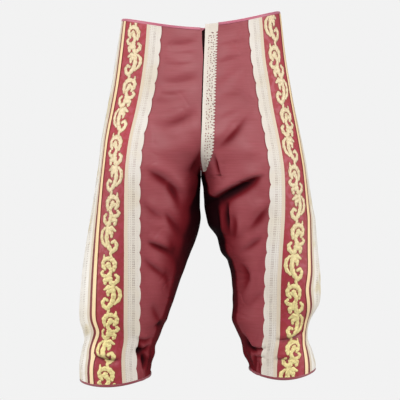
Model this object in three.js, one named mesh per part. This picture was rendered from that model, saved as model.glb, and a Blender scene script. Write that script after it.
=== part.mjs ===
// Knee-length toreador breeches, cut in satin and filled out as they are when worn.
// Each side has a front and a back panel. Down the outside of each leg run a scalloped lace,
// a brocade band that carries a flat gold braid, and a wider side lace over the side seam.
// A lace strip covers the edge of the fly, an underlap closes the slit behind it, and a folded
// binding edges the waist and each leg opening.
//
// Millimetres, +Z up, -Y to the front, +X to the wearer's left. The origin is the middle of the
// waist opening, at the mean height of its edge, where the wearer's waist holds the garment.

import * as THREE from "three";

// ---------------------------------------------------------------- driving dimensions

const SATIN = 1.2; // wall of the satin panels
const TRIM = 0.9; // wall of the lace strips and the brocade bands
const BRAID = 1.0; // wall of the gold braid
const GAP = 0.3; // between pieces that are sewn edge to edge or laid on each other

const FRONT_LACE_WIDTH = 33;
const BAND_WIDTH = 74;
const BRAID_FROM_BAND_EDGE = 57; // from the band's front edge to the braid's front edge
const BRAID_WIDTH = 10;
const SIDE_LACE_WIDTH = 50;

const BINDING_DEPTH = 7; // how far the folded binding reaches down from the edge
const BINDING_WALL = 1.2;

const HEM_HEIGHT = -720; // nominal height of the leg openings below the waist
const WAIST_FADE = 160; // depth over which the slope of the waist edge fades out
const HEM_FADE = 110; // height over which the slope of the hem edge fades out
const WAIST_SLOPE = 1.6; // how sharply the waist edge rises from the centre to the side

const CROTCH_HEIGHT = -312; // lowest point of the centre seam
const CROTCH_RISE = 130; // height over which the centre seam curves under the body
const LEG_RISE = 150; // heights above and below the crotch over which the outside of the
const LEG_DROP = 110; // trunk becomes the outside of the legs

const FLY_LACE_WIDTH = 25;
const FLY_BOTTOM = -262; // where the fly closes and its lace starts to taper
const FLY_LACE_TIP = -304;
const FLY_LACE_TIP_WIDTH = 4;
const FLY_COLUMNS_REJOIN = 80; // height over which the columns spread out again below the tip
const FLY_SLIT_LEFT = 8; // half widths of the slit at the waist, each measured from the centre
const FLY_SLIT_RIGHT = 1;
const UNDERLAP_GAP = 0.5; // between the underlap and the back of the front panels
const UNDERLAP_BOTTOM = -258;

// ---------------------------------------------------------------- tables

const table = (columns, rows) =>
  rows.map((row) => Object.fromEntries(columns.map((name, i) => [name, row[i]])));

// Half sections of the garment at a height. outer and inner are distances from the centre line,
// front and back are depths, and trim is where the front lace meets the band.
const SECTION_COLUMNS = ["z", "outer", "inner", "front", "back", "trim"];

const RIGHT_SECTIONS = table(SECTION_COLUMNS, [
  [20, 154, 0, -102, 98, 101],
  [0, 157, 0, -104, 100, 103.5],
  [-80, 170, 0, -108, 108, 110],
  [-132, 178, 0, -111, 114, 117],
  [-180, 187, 0, -113, 119, 126],
  [-240, 198, 0, -113, 121, 139.5],
  [-290, 204, 0, -111, 118, 146],
  [-312, 207, 0, -109, 115, 147.5],
  [-340, 211, 1.5, -107, 112, 148.5],
  [-372, 216, 3, -104, 108, 149],
  [-396, 220, 3, -102, 105, 149],
  [-420, 224, 7, -100, 102, 149.5],
  [-468, 232, 24, -96, 97, 149.5],
  [-516, 238, 40, -92, 92, 150],
  [-564, 242, 56, -87, 88, 150.5],
  [-600, 242, 70, -82, 84, 151],
  [-636, 232, 85, -73, 77, 151.5],
  [-660, 237, 94, -71, 74, 155.5],
  [-690, 242, 100, -70, 72, 156],
  [-740, 239, 100, -68, 70, 153],
]);

const LEFT_SECTIONS = table(SECTION_COLUMNS, [
  [20, 156, 0, -102, 98, 116.5],
  [0, 159, 0, -104, 100, 118.5],
  [-80, 169, 0, -108, 108, 125],
  [-132, 178, 0, -111, 114, 133],
  [-180, 187, 0, -113, 119, 140.5],
  [-240, 200, 0, -113, 121, 152],
  [-290, 210, 0, -111, 118, 160],
  [-312, 213, 0, -109, 115, 162],
  [-340, 217, 3, -107, 112, 163],
  [-372, 222, 6, -104, 108, 163],
  [-396, 227, 13, -102, 105, 162.5],
  [-420, 229, 22, -100, 102, 161],
  [-468, 233, 41, -96, 97, 158],
  [-516, 238, 61, -90, 92, 155.5],
  [-564, 236, 64, -84, 88, 155],
  [-600, 217, 63, -77, 83, 154.5],
  [-636, 212, 78, -71, 76, 153.5],
  [-660, 221, 87, -69, 73, 150],
  [-690, 228, 96, -67, 71, 149.5],
  [-740, 223, 98, -66, 69, 149],
]);

// The largest folds: a soft trough from one point to another, seen square on from the front or
// the back, with a ridge beside it. across is the trough's half width, and depth is into the body.
const FOLD_COLUMNS = ["side", "face", "x0", "z0", "x1", "z1", "across", "depth", "ridge"];

const FOLDS = table(FOLD_COLUMNS, [
  ["left", "front", 122, -318, 26, -362, 13, 9, 0.6],
  ["left", "front", 86, -206, 42, -246, 13, 4, 0.4],
  ["left", "front", 126, -376, 100, -420, 12, 4, 0.4],
  ["left", "front", 50, -372, 56, -440, 10, 4, 0.5],
  ["right", "front", -92, -314, -56, -346, 14, 5, 0.4],
  ["right", "front", -116, -362, -80, -404, 14, 4, 0.4],
  ["right", "front", -98, -450, -70, -462, 12, 4, 0.3],
  ["right", "front", -112, -484, -78, -516, 12, 4, 0.3],
  ["left", "back", 84, -326, 150, -342, 18, 5, 0.3],
  ["right", "back", -80, -330, -150, -348, 18, 5, 0.3],
  ["left", "back", 100, -470, 170, -486, 14, 5, 0.3],
  ["right", "back", -100, -476, -170, -494, 14, 5, 0.3],
]);

const SIDES = {
  right: {
    sign: -1,
    sections: RIGHT_SECTIONS,
    waist: { front: -27, side: 6, back: -6 },
    hem: { inner: 12, front: -5, outer: 0, back: 2 },
    slit: FLY_SLIT_RIGHT,
  },
  left: {
    sign: 1,
    sections: LEFT_SECTIONS,
    waist: { front: -20, side: 15, back: -6 },
    hem: { inner: 22, front: 8, outer: 22, back: 12 },
    slit: FLY_SLIT_LEFT,
  },
};

// Heights of the rows of each panel, from the waist edge to the hem edge, closer at the crotch.
const ROWS = [
  0, -BINDING_DEPTH, -40, -78, -116, -152, -184, -212, -236, UNDERLAP_BOTTOM, -276, -291,
  FLY_LACE_TIP, -310, -317, -334, -362, -396, -430, -468, -510, -550, -584, -612, -638, -664, -692,
  HEM_HEIGHT + BINDING_DEPTH, HEM_HEIGHT,
];

// ---------------------------------------------------------------- the cloth surface

const clamp = (value, low, high) => Math.min(high, Math.max(low, value));

/** A column of a table at a height, by a smooth curve through its rows. */
function smooth(rows, column, z) {
  const last = rows.length - 2;
  let i = 0;
  while (i < last && z < rows[i + 1].z) i += 1;
  const at = (k) => rows[clamp(k, 0, rows.length - 1)];
  const [a, b, c, d] = [at(i - 1), at(i), at(i + 1), at(i + 2)];
  const slope = (p, q) => (p.z === q.z ? 0 : (q[column] - p[column]) / (q.z - p.z));
  const span = c.z - b.z;
  const u = clamp((z - b.z) / span, 0, 1);
  const from = slope(a, c) * span;
  const to = slope(b, d) * span;
  return (
    b[column] * (1 + 2 * u) * (1 - u) ** 2 +
    from * u * (1 - u) ** 2 +
    c[column] * u * u * (3 - 2 * u) +
    to * u * u * (u - 1)
  );
}

/** How far the outside of the trunk has become the outside of the legs at a height, 0 to 1. */
function outerParting(z) {
  const [low, high] = [CROTCH_HEIGHT - LEG_DROP, CROTCH_HEIGHT + LEG_RISE];
  return 1 - THREE.MathUtils.smootherstep(z, low, high);
}

/** The same at any place t: the centre edges curve under the body and meet at the crotch. */
function parting(z, t) {
  const q = clamp((z - CROTCH_HEIGHT) / CROTCH_RISE, 0, 1);
  const centre = 1 - Math.sqrt(1 - (1 - q) ** 2);
  const share = THREE.MathUtils.smoothstep(Math.min(t, 1 - t), 0, 0.25);
  return centre + (outerParting(z) - centre) * share;
}

/** How much deeper a half parted section is drawn, so that its depth stays that of the table. */
function fullness(z) {
  const w = outerParting(z);
  return 1 + w * (1 - w) * (1 - 0.8 * w);
}

/** Height of a point of a row. The rows follow the slope of the waist edge and of the hem edge. */
function heightOf(side, row, t) {
  const { waist, hem } = side;
  const centre = t < 0.5 ? waist.front : waist.back;
  const edge = centre + (waist.side - centre) * Math.sin(Math.PI * t) ** WAIST_SLOPE;
  const around = 2 * Math.PI * t;
  const mean = (hem.inner + hem.front + hem.outer + hem.back) / 4;
  const second = (hem.inner + hem.outer - hem.front - hem.back) / 4;
  const opening =
    mean +
    ((hem.inner - hem.outer) / 2) * Math.cos(around) +
    ((hem.front - hem.back) / 2) * Math.sin(around) +
    second * Math.cos(2 * around);
  const nearWaist = 1 - THREE.MathUtils.smoothstep(-row, 0, WAIST_FADE);
  const nearHem = 1 - THREE.MathUtils.smoothstep(row - HEM_HEIGHT, 0, HEM_FADE);
  return row + edge * nearWaist + opening * nearHem;
}

/** A point of the smooth form. t runs from the centre front or inseam, by the outside, to the back. */
function formPoint(side, row, t) {
  const z = heightOf(side, row, t);
  const at = (column) => smooth(side.sections, column, z);
  const [outer, front, back] = [at("outer"), at("front"), at("back")];
  const inner = Math.max(0, at("inner"));
  const middle = (front + back) / 2;
  const angle = Math.PI * t;
  const depth = (t < 0.5 ? front - middle : back - middle) * fullness(z);
  const trunk = [outer * Math.sin(angle), middle + depth * Math.abs(Math.cos(angle))];
  const leg = [
    (outer + inner) / 2 - ((outer - inner) / 2) * Math.cos(2 * angle),
    middle + depth * Math.abs(Math.sin(2 * angle)),
  ];
  const w = parting(z, t);
  const x = Math.max(GAP / 2, trunk[0] * (1 - w) + leg[0] * w);
  return new THREE.Vector3(side.sign * x, trunk[1] * (1 - w) + leg[1] * w, z);
}

const T_STEP = 0.004;
const ROW_STEP = 1.5;

/** The outward normal of a surface function at a point of it. */
function normalOf(point, side, row, t) {
  const [t0, t1] = [clamp(t - T_STEP, 0, 1), clamp(t + T_STEP, 0, 1)];
  const along = point(side, row, t1).sub(point(side, row, t0));
  const down = point(side, row - ROW_STEP, t).sub(point(side, row + ROW_STEP, t));
  return along.cross(down).multiplyScalar(-side.sign).normalize();
}

/** How far the folds move a point of the form outwards. */
function foldAt(side, p, t) {
  const face = t < 0.5 ? "front" : "back";
  const fromSeam = Math.min(t, 1 - t, Math.abs(t - 0.5));
  const calm = clamp(fromSeam / 0.04, 0, 1);
  let out = 0;
  for (const fold of FOLDS) {
    if (SIDES[fold.side] !== side || fold.face !== face) continue;
    const [dx, dz] = [fold.x1 - fold.x0, fold.z1 - fold.z0];
    const long = Math.hypot(dx, dz);
    const along = ((p.x - fold.x0) * dx + (p.z - fold.z0) * dz) / (long * long);
    const aside = ((p.x - fold.x0) * dz - (p.z - fold.z0) * dx) / long;
    const past = (Math.abs(along - 0.5) - 0.5) * long;
    const fade = Math.exp(-((Math.max(0, past) / fold.across) ** 2));
    const above = Math.sign(dx) * aside;
    const trough = Math.exp(-((aside / fold.across) ** 2));
    const ridge = Math.exp(-(((above + 1.9 * fold.across) / (1.2 * fold.across)) ** 2));
    out += fade * fold.depth * (fold.ridge * ridge - trough);
  }
  return out * calm;
}

/** A point of the cloth's outer face, folds included. */
function clothPoint(side, row, t) {
  const p = formPoint(side, row, t);
  return p.addScaledVector(normalOf(formPoint, side, row, t), foldAt(side, p, t));
}

/** A point of the cloth moved out along its normal, or in where out is negative. */
function layerPoint(side, row, t, out) {
  return clothPoint(side, row, t).addScaledVector(normalOf(clothPoint, side, row, t), out);
}

// ---------------------------------------------------------------- places across the cloth

const ARC_STEPS = 200;

/** The length of a row from the centre front or inseam to each of its steps, and its places. */
function rowMeasure(side, row) {
  const lengths = [0];
  let trimLength = 0;
  let before = formPoint(side, row, 0);
  for (let i = 1; i <= ARC_STEPS; i += 1) {
    const here = formPoint(side, row, i / ARC_STEPS);
    const step = here.distanceTo(before);
    const trim = smooth(side.sections, "trim", here.z);
    const [x0, x1] = [Math.abs(before.x), Math.abs(here.x)];
    if (i <= ARC_STEPS / 2 && x0 < trim && x1 >= trim) {
      trimLength = lengths[i - 1] + (step * (trim - x0)) / (x1 - x0);
    }
    lengths.push(lengths[i - 1] + step);
    before = here;
  }
  return { lengths, trimLength, total: lengths[ARC_STEPS] };
}

/** The place t of a length along a measured row. */
function placeOf(measure, length) {
  const { lengths } = measure;
  let i = 1;
  while (i < ARC_STEPS && lengths[i] < length) i += 1;
  const share = (length - lengths[i - 1]) / (lengths[i] - lengths[i - 1]);
  return clamp((i - 1 + share) / ARC_STEPS, 0, 1);
}

/** Half the width of the fly's slit on a side at a row, down to half a seam below the fly. */
function slitEdge(side, row) {
  const open = clamp(1 - row / FLY_BOTTOM, 0, 1);
  return GAP / 2 + side.slit * open;
}

const evenly = (from, to, cells) =>
  Array.from({ length: cells + 1 }, (_, i) => from + ((to - from) * i) / cells);

const BAND_COLUMNS = [0, 28, BRAID_FROM_BAND_EDGE, BRAID_FROM_BAND_EDGE + BRAID_WIDTH, BAND_WIDTH];
const SIDE_SEAM = BAND_WIDTH + SIDE_LACE_WIDTH / 2;
const PLAIN_CELLS = 4; // across the satin between the fly lace and the front lace
const BACK_CELLS = 8; // across the satin between the side lace and the centre back

/** Columns of the lace beside the slit of the fly, which tapers to a tip below it. */
function flyLaceColumns(side, row) {
  const above = clamp((FLY_BOTTOM - row) / (FLY_BOTTOM - FLY_LACE_TIP), 0, 1);
  const below = clamp((row - FLY_LACE_TIP) / FLY_COLUMNS_REJOIN + 1, 0, 1);
  const narrow = row >= FLY_LACE_TIP ? above ** 1.5 : below;
  const width = FLY_LACE_WIDTH + (FLY_LACE_TIP_WIDTH - FLY_LACE_WIDTH) * narrow;
  return evenly(slitEdge(side, row), slitEdge(side, row) + width, 2);
}

/** Lengths of the front panel's columns along a row. */
function frontColumns(side, row, measure) {
  const fly = flyLaceColumns(side, row);
  const lace = measure.trimLength - FRONT_LACE_WIDTH;
  return [
    ...fly.slice(0, -1),
    ...evenly(fly[fly.length - 1], lace, PLAIN_CELLS),
    lace + FRONT_LACE_WIDTH / 2,
    ...BAND_COLUMNS.map((a) => measure.trimLength + a),
    measure.trimLength + SIDE_SEAM - GAP / 2,
  ];
}

/** Lengths of the back panel's columns along a row. */
function backColumns(side, row, measure) {
  const seam = measure.trimLength + SIDE_SEAM + GAP / 2;
  const laceEnd = measure.trimLength + BAND_WIDTH + SIDE_LACE_WIDTH;
  return [seam, ...evenly(laceEnd, measure.total - GAP / 2, BACK_CELLS)];
}

/** Columns of a strip at set distances from where the front lace meets the band. */
const stripColumns = (offsets) => (side, row, measure) =>
  offsets.map((a) => measure.trimLength + a);

// ---------------------------------------------------------------- solids

/** A grid of points of a layer: one line of points for each row. */
function layerGrid(side, rows, columns, out) {
  return rows.map((row) => {
    const measure = rowMeasure(side, row);
    return columns(side, row, measure).map((s) =>
      layerPoint(side, row, placeOf(measure, s), out),
    );
  });
}

/** A closed geometry from triangles of points. */
function geometryOf(triangles) {
  const positions = new Float32Array(triangles.flatMap((p) => [p.x, p.y, p.z]));
  const geometry = new THREE.BufferGeometry();
  geometry.setAttribute("position", new THREE.BufferAttribute(positions, 3));
  geometry.computeVertexNormals();
  return geometry;
}

/** A quadrilateral as two triangles, turned the other way round where flip is true. */
function addQuad(triangles, a, b, c, d, flip) {
  if (flip) triangles.push(a, c, b, a, d, c);
  else triangles.push(a, b, c, a, c, d);
}

/** The closed wall between an outer and an inner grid. */
function wallBetween(outer, inner, flip) {
  const triangles = [];
  const [rows, columns] = [outer.length - 1, outer[0].length - 1];
  for (let i = 0; i < rows; i += 1) {
    for (let j = 0; j < columns; j += 1) {
      const [n, m] = [i + 1, j + 1];
      addQuad(triangles, outer[i][j], outer[n][j], outer[n][m], outer[i][m], flip);
      addQuad(triangles, inner[i][j], inner[n][j], inner[n][m], inner[i][m], !flip);
    }
    const [n, m] = [i + 1, columns];
    addQuad(triangles, outer[i][0], inner[i][0], inner[n][0], outer[n][0], flip);
    addQuad(triangles, outer[i][m], inner[i][m], inner[n][m], outer[n][m], !flip);
  }
  for (let j = 0; j < columns; j += 1) {
    const [n, m] = [rows, j + 1];
    addQuad(triangles, outer[0][j], inner[0][j], inner[0][m], outer[0][m], !flip);
    addQuad(triangles, outer[n][j], inner[n][j], inner[n][m], outer[n][m], flip);
  }
  return geometryOf(triangles);
}

/** A piece of cloth on one side of the garment, between two distances out from the surface. */
function clothPiece(side, rows, columns, inside, outside) {
  const outer = layerGrid(side, rows, columns, outside);
  const inner = layerGrid(side, rows, columns, inside);
  return wallBetween(outer, inner, side.sign < 0);
}

/** The strip behind the slit of the fly, which crosses from one side to the other. */
function underlapPiece() {
  const rows = ROWS.filter((row) => row <= -BINDING_DEPTH && row >= UNDERLAP_BOTTOM);
  rows[0] -= GAP + BINDING_WALL;
  const reach = (side, row, measure) => frontColumns(side, row, measure).slice(0, 2);
  const grid = (out) => {
    const right = layerGrid(SIDES.right, rows, reach, out);
    const left = layerGrid(SIDES.left, rows, reach, out);
    return rows.map((_, i) => [right[i][1], right[i][0], left[i][0], left[i][1]]);
  };
  return wallBetween(grid(-SATIN - UNDERLAP_GAP), grid(-SATIN - UNDERLAP_GAP - SATIN), false);
}

/** A folded binding swept along an edge. Each station has a point, an outward and a down direction. */
function bindingPiece(stations, closed) {
  const [outside, inside] = [GAP, -SATIN - GAP];
  const section = [
    [outside + BINDING_WALL, BINDING_DEPTH - GAP],
    [outside + BINDING_WALL, -GAP - BINDING_WALL],
    [inside - BINDING_WALL, -GAP - BINDING_WALL],
    [inside - BINDING_WALL, BINDING_DEPTH - GAP],
    [inside, BINDING_DEPTH - GAP],
    [inside, -GAP],
    [outside, -GAP],
    [outside, BINDING_DEPTH - GAP],
  ];
  const rings = stations.map(({ point, out, down }) =>
    section.map(([o, d]) => point.clone().addScaledVector(out, o).addScaledVector(down, d)),
  );
  const triangles = [];
  const corners = section.length;
  const last = closed ? rings.length : rings.length - 1;
  for (let i = 0; i < last; i += 1) {
    const next = rings[(i + 1) % rings.length];
    for (let k = 0; k < corners; k += 1) {
      const m = (k + 1) % corners;
      addQuad(triangles, rings[i][k], rings[i][m], next[m], next[k], false);
    }
  }
  if (!closed) {
    for (const [ring, flip] of [[rings[0], false], [rings[rings.length - 1], true]]) {
      addQuad(triangles, ring[0], ring[7], ring[6], ring[1], flip);
      addQuad(triangles, ring[1], ring[6], ring[5], ring[2], flip);
      addQuad(triangles, ring[2], ring[5], ring[4], ring[3], flip);
    }
  }
  return geometryOf(triangles);
}

/** Stations along the edge of one side at a row, from a length along it to the centre back. */
function edgeStations(side, row, into, from = 0) {
  const measure = rowMeasure(side, row);
  const front = frontColumns(side, row, measure);
  const back = backColumns(side, row, measure);
  const seam = measure.trimLength + SIDE_SEAM;
  const lengths = [...front.slice(0, -1), seam, ...back.slice(1)].filter((s) => s > from);
  if (from > 0) lengths.unshift(from);
  return lengths.map((s) => {
    const t = placeOf(measure, s);
    const point = clothPoint(side, row, t);
    const out = normalOf(clothPoint, side, row, t);
    const down = clothPoint(side, row + into * ROW_STEP, t).sub(point).normalize();
    return { point, out, down };
  });
}

/** The binding round the waist, open at the fly, from one edge of the slit to the fly lace. */
function waistBinding() {
  const pastLace = slitEdge(SIDES.left, 0) + FLY_LACE_WIDTH + GAP;
  const right = edgeStations(SIDES.right, 0, -1);
  const left = edgeStations(SIDES.left, 0, -1, pastLace);
  const [a, b] = [right.pop(), left.pop()];
  const middle = {
    point: a.point.clone().add(b.point).multiplyScalar(0.5),
    out: a.out.clone().add(b.out).normalize(),
    down: a.down.clone().add(b.down).normalize(),
  };
  return bindingPiece([...right, middle, ...left.reverse()], false);
}

/** The binding round a leg opening. */
function hemBinding(side) {
  const stations = edgeStations(side, HEM_HEIGHT, 1);
  const [a, b] = [stations[0], stations[stations.length - 1]];
  const out = a.out.clone().add(b.out).normalize();
  const point = a.point.clone().add(b.point).multiplyScalar(0.5);
  const ring = [{ point, out, down: a.down }, ...stations.slice(1, -1)];
  return bindingPiece(side.sign > 0 ? ring : ring.reverse(), true);
}

// ---------------------------------------------------------------- the garment

const FINISHES = {
  satin: new THREE.MeshStandardMaterial({ color: 0x8e3a44, roughness: 0.42, metalness: 0 }),
  lace: new THREE.MeshStandardMaterial({ color: 0xe6dccb, roughness: 0.85, metalness: 0 }),
  brocade: new THREE.MeshStandardMaterial({ color: 0xa8323f, roughness: 0.6, metalness: 0 }),
  braid: new THREE.MeshStandardMaterial({ color: 0xe6cf95, roughness: 0.5, metalness: 0 }),
  binding: new THREE.MeshStandardMaterial({ color: 0xb85c78, roughness: 0.4, metalness: 0 }),
};

const garment = new THREE.Group();
garment.name = "toreador_pants";

function add(parent, name, geometry, material) {
  const mesh = new THREE.Mesh(geometry, material);
  mesh.name = name;
  parent.add(mesh);
}

// Rows of a trim that runs from under the waist binding to under the hem binding.
const trimRows = ROWS.slice(1, -1);
trimRows[0] -= GAP;
trimRows[trimRows.length - 1] += GAP;

const bandOffsets = [...BAND_COLUMNS];
const sideLaceEdges = [BAND_WIDTH + GAP, SIDE_SEAM, BAND_WIDTH + SIDE_LACE_WIDTH];
const braidEdges = [BRAID_FROM_BAND_EDGE, BRAID_FROM_BAND_EDGE + BRAID_WIDTH];
const frontLaceEdges = [-FRONT_LACE_WIDTH, -FRONT_LACE_WIDTH / 2, -GAP];
const onCloth = [GAP, GAP + TRIM];
const onBand = [GAP + TRIM + GAP, GAP + TRIM + GAP + BRAID];

for (const [name, side] of Object.entries(SIDES)) {
  const leg = new THREE.Group();
  garment.add(leg);
  const strip = (edges, walls) => clothPiece(side, trimRows, stripColumns(edges), ...walls);
  add(leg, `front_${name}`, clothPiece(side, ROWS, frontColumns, -SATIN, 0), FINISHES.satin);
  add(leg, `back_${name}`, clothPiece(side, ROWS, backColumns, -SATIN, 0), FINISHES.satin);
  add(leg, `front_lace_${name}`, strip(frontLaceEdges, onCloth), FINISHES.lace);
  add(leg, `band_${name}`, strip(bandOffsets, onCloth), FINISHES.brocade);
  add(leg, `braid_${name}`, strip(braidEdges, onBand), FINISHES.braid);
  add(leg, `side_lace_${name}`, strip(sideLaceEdges, onCloth), FINISHES.lace);
  add(leg, `hem_binding_${name}`, hemBinding(side), FINISHES.binding);
}

const flyLaceRows = ROWS.filter((row) => row >= FLY_LACE_TIP);
const flyLace = clothPiece(SIDES.left, flyLaceRows, flyLaceColumns, ...onCloth);
add(garment, "fly_lace", flyLace, FINISHES.lace);
add(garment, "fly_underlap", underlapPiece(), FINISHES.satin);
add(garment, "waist_binding", waistBinding(), FINISHES.binding);

export default garment;
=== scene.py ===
"""Knee-length toreador breeches in satin, with lace, brocade bands and gold embroidery.

The frame holds the breeches' plain solids. Each solid is replaced here by a thin piece of
cloth on the same form, with its folds, gathers, scalloped edges and embroidery. Sizes are in
millimetres, in the frame's own axes: +Z up, -Y to the front and +X to the wearer's left. They
become metres when a mesh is made. A place on the cloth is given by its row, which is the
nominal height below the waist, and by its length round the row from the centre front.
"""

from __future__ import annotations

import logging
import math
from dataclasses import dataclass, field
from enum import Enum
from typing import Callable

import bpy
import numpy as np
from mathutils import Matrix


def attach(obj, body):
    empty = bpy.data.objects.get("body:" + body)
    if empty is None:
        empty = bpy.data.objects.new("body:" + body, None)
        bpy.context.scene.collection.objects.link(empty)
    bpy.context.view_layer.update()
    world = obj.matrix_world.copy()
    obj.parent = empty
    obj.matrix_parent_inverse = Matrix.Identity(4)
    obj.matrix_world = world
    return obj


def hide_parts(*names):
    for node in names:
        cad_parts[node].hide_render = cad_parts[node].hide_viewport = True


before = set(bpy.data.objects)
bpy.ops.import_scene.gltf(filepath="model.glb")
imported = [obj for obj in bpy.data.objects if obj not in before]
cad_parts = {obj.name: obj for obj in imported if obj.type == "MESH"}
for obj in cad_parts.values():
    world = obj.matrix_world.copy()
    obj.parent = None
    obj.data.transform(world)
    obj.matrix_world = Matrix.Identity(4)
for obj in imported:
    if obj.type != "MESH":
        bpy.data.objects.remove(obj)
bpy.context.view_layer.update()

log = logging.getLogger("breeches")

MM = 0.001
# the attribute that carries painted shade
SHADE = "shade"
BODY = "root"

Point = tuple[float, float]
Colour = tuple[float, float, float, float]
Array = np.ndarray
Piece = bpy.types.Object
Material = bpy.types.Material
Tree = bpy.types.NodeTree
Node = bpy.types.Node
Socket = bpy.types.NodeSocket
Outputs = bpy.types.NodeOutputs


# ---- sizes shared with the frame


class Side(Enum):
    """The two halves of the garment, by the sign of X on the wearer's own side."""

    RIGHT = -1
    LEFT = 1

    @property
    def label(self) -> str:
        """The word that ends the names of this side's pieces."""
        return self.name.lower()


class Face(Enum):
    """Which face of the garment a fold is on."""

    FRONT = "front"
    BACK = "back"


@dataclass(frozen=True)
class Walls:
    """Thicknesses of the layers and the gaps between them."""

    gap: float = 0.3
    satin: float = 1.2
    trim: float = 0.8
    trim_lift: float = 0.5
    binding: float = 0.8

    @property
    def trim_face(self) -> float:
        """How far a trim's outer face stands out from the satin."""
        return self.trim_lift + self.trim


@dataclass(frozen=True)
class Strips:
    """Where the strips of trim lie, in length round the row from the lace's edge on the band."""

    front_lace: float = 33.0
    band: float = 74.0
    braid_start: float = 57.0
    braid: float = 10.0
    side_lace: float = 50.0

    @property
    def side_seam(self) -> float:
        """The side seam lies under the middle of the side lace."""
        return self.band + self.side_lace / 2


@dataclass(frozen=True)
class Fly:
    """The centre slit and the lace along its edge."""

    lace: float = 25.0
    bottom: float = -262.0
    tip: float = -304.0
    tip_width: float = 12.0
    underlap_bottom: float = -258.0


@dataclass(frozen=True)
class Heights:
    """Rows and heights that shape the whole garment."""

    hem: float = -720.0
    waist_fade: float = 160.0
    hem_fade: float = 110.0
    waist_slope: float = 1.6
    crotch: float = -312.0
    crotch_rise: float = 130.0
    leg_rise: float = 150.0
    leg_drop: float = 110.0
    binding: float = 7.0
    trims: float = 4.2


@dataclass(frozen=True)
class CloseRows:
    """How far above and below the crotch a panel's rows lie closer, and how close."""

    above: float = 24.0
    below: float = 12.0
    step: float = 1.2


WALLS = Walls()
STRIPS = Strips()
FLY = Fly()
HEIGHTS = Heights()
CLOSE_ROWS = CloseRows()
TRIM_CUT = 0.705  # flat length of every trim down a leg, in metres

SECTION_COLUMNS = ("z", "outer", "inner", "front", "back", "trim")

RIGHT_SECTIONS = (
    (20, 154, 0, -102, 98, 101),
    (0, 157, 0, -104, 100, 103.5),
    (-80, 170, 0, -108, 108, 110),
    (-132, 178, 0, -111, 114, 117),
    (-180, 187, 0, -113, 119, 126),
    (-240, 198, 0, -113, 121, 139.5),
    (-290, 204, 0, -111, 118, 146),
    (-312, 207, 0, -109, 115, 147.5),
    (-340, 211, 1.5, -107, 112, 148.5),
    (-372, 216, 2, -104, 108, 149),
    (-396, 220, 0.5, -102, 105, 149),
    (-420, 224, 4.5, -100, 102, 149.5),
    (-444, 228, 12, -98, 99.5, 149.5),
    (-468, 232, 22, -96, 97, 149.5),
    (-516, 238, 40, -92, 92, 150),
    (-564, 242, 56, -87, 88, 150.5),
    (-600, 242, 70, -82, 84, 151),
    (-636, 232, 85, -73, 77, 151.5),
    (-660, 237, 94, -71, 74, 155.5),
    (-690, 242, 100, -70, 72, 156),
    (-740, 239, 100, -68, 70, 153),
)

LEFT_SECTIONS = (
    (20, 156, 0, -102, 98, 116.5),
    (0, 159, 0, -104, 100, 118.5),
    (-80, 169, 0, -108, 108, 125),
    (-132, 178, 0, -111, 114, 133),
    (-180, 187, 0, -113, 119, 140.5),
    (-240, 200, 0, -113, 121, 152),
    (-290, 210, 0, -111, 118, 160),
    (-312, 213, 0, -109, 115, 162),
    (-340, 217, 5, -107, 112, 163),
    (-372, 222, 7, -104, 108, 163),
    (-396, 227, 11, -102, 105, 162.5),
    (-412, 228.5, 16, -100.7, 103, 161.5),
    (-432, 230, 31, -99, 100.7, 160.2),
    (-450, 231.5, 36, -97.5, 98.8, 159),
    (-466, 233, 42, -96.2, 97.2, 158),
    (-481, 234.5, 53, -95, 95.6, 157.3),
    (-516, 238, 61, -92, 92, 155.5),
    (-564, 236, 64, -84, 88, 155),
    (-600, 217, 63, -77, 83, 154.5),
    (-636, 212, 78, -71, 76, 153.5),
    (-660, 221, 87, -69, 73, 150),
    (-690, 228, 96, -67, 71, 149.5),
    (-740, 223, 98, -66, 69, 149),
)


@dataclass(frozen=True)
class WaistEdge:
    """Heights of the waist edge at the centre front, the side and the centre back."""

    front: float
    side: float
    back: float


@dataclass(frozen=True)
class HemEdge:
    """Heights of a leg opening's edge above its row, at four places round it."""

    inner: float
    front: float
    outer: float
    back: float


@dataclass(frozen=True)
class FoldShape:
    """The profile that every fold shares: its powers, and lengths in half widths of a crease."""

    line_points: int = 9
    reach: float = 4.5
    upright: float = 0.15
    end_power: float = 1.2
    trough_power: float = 1.6
    steeper: float = 0.6
    flatter: float = 0.5
    crest: float = 1.9
    swell: float = 1.1
    swell_above: float = 1.5


FOLD = FoldShape()


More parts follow.
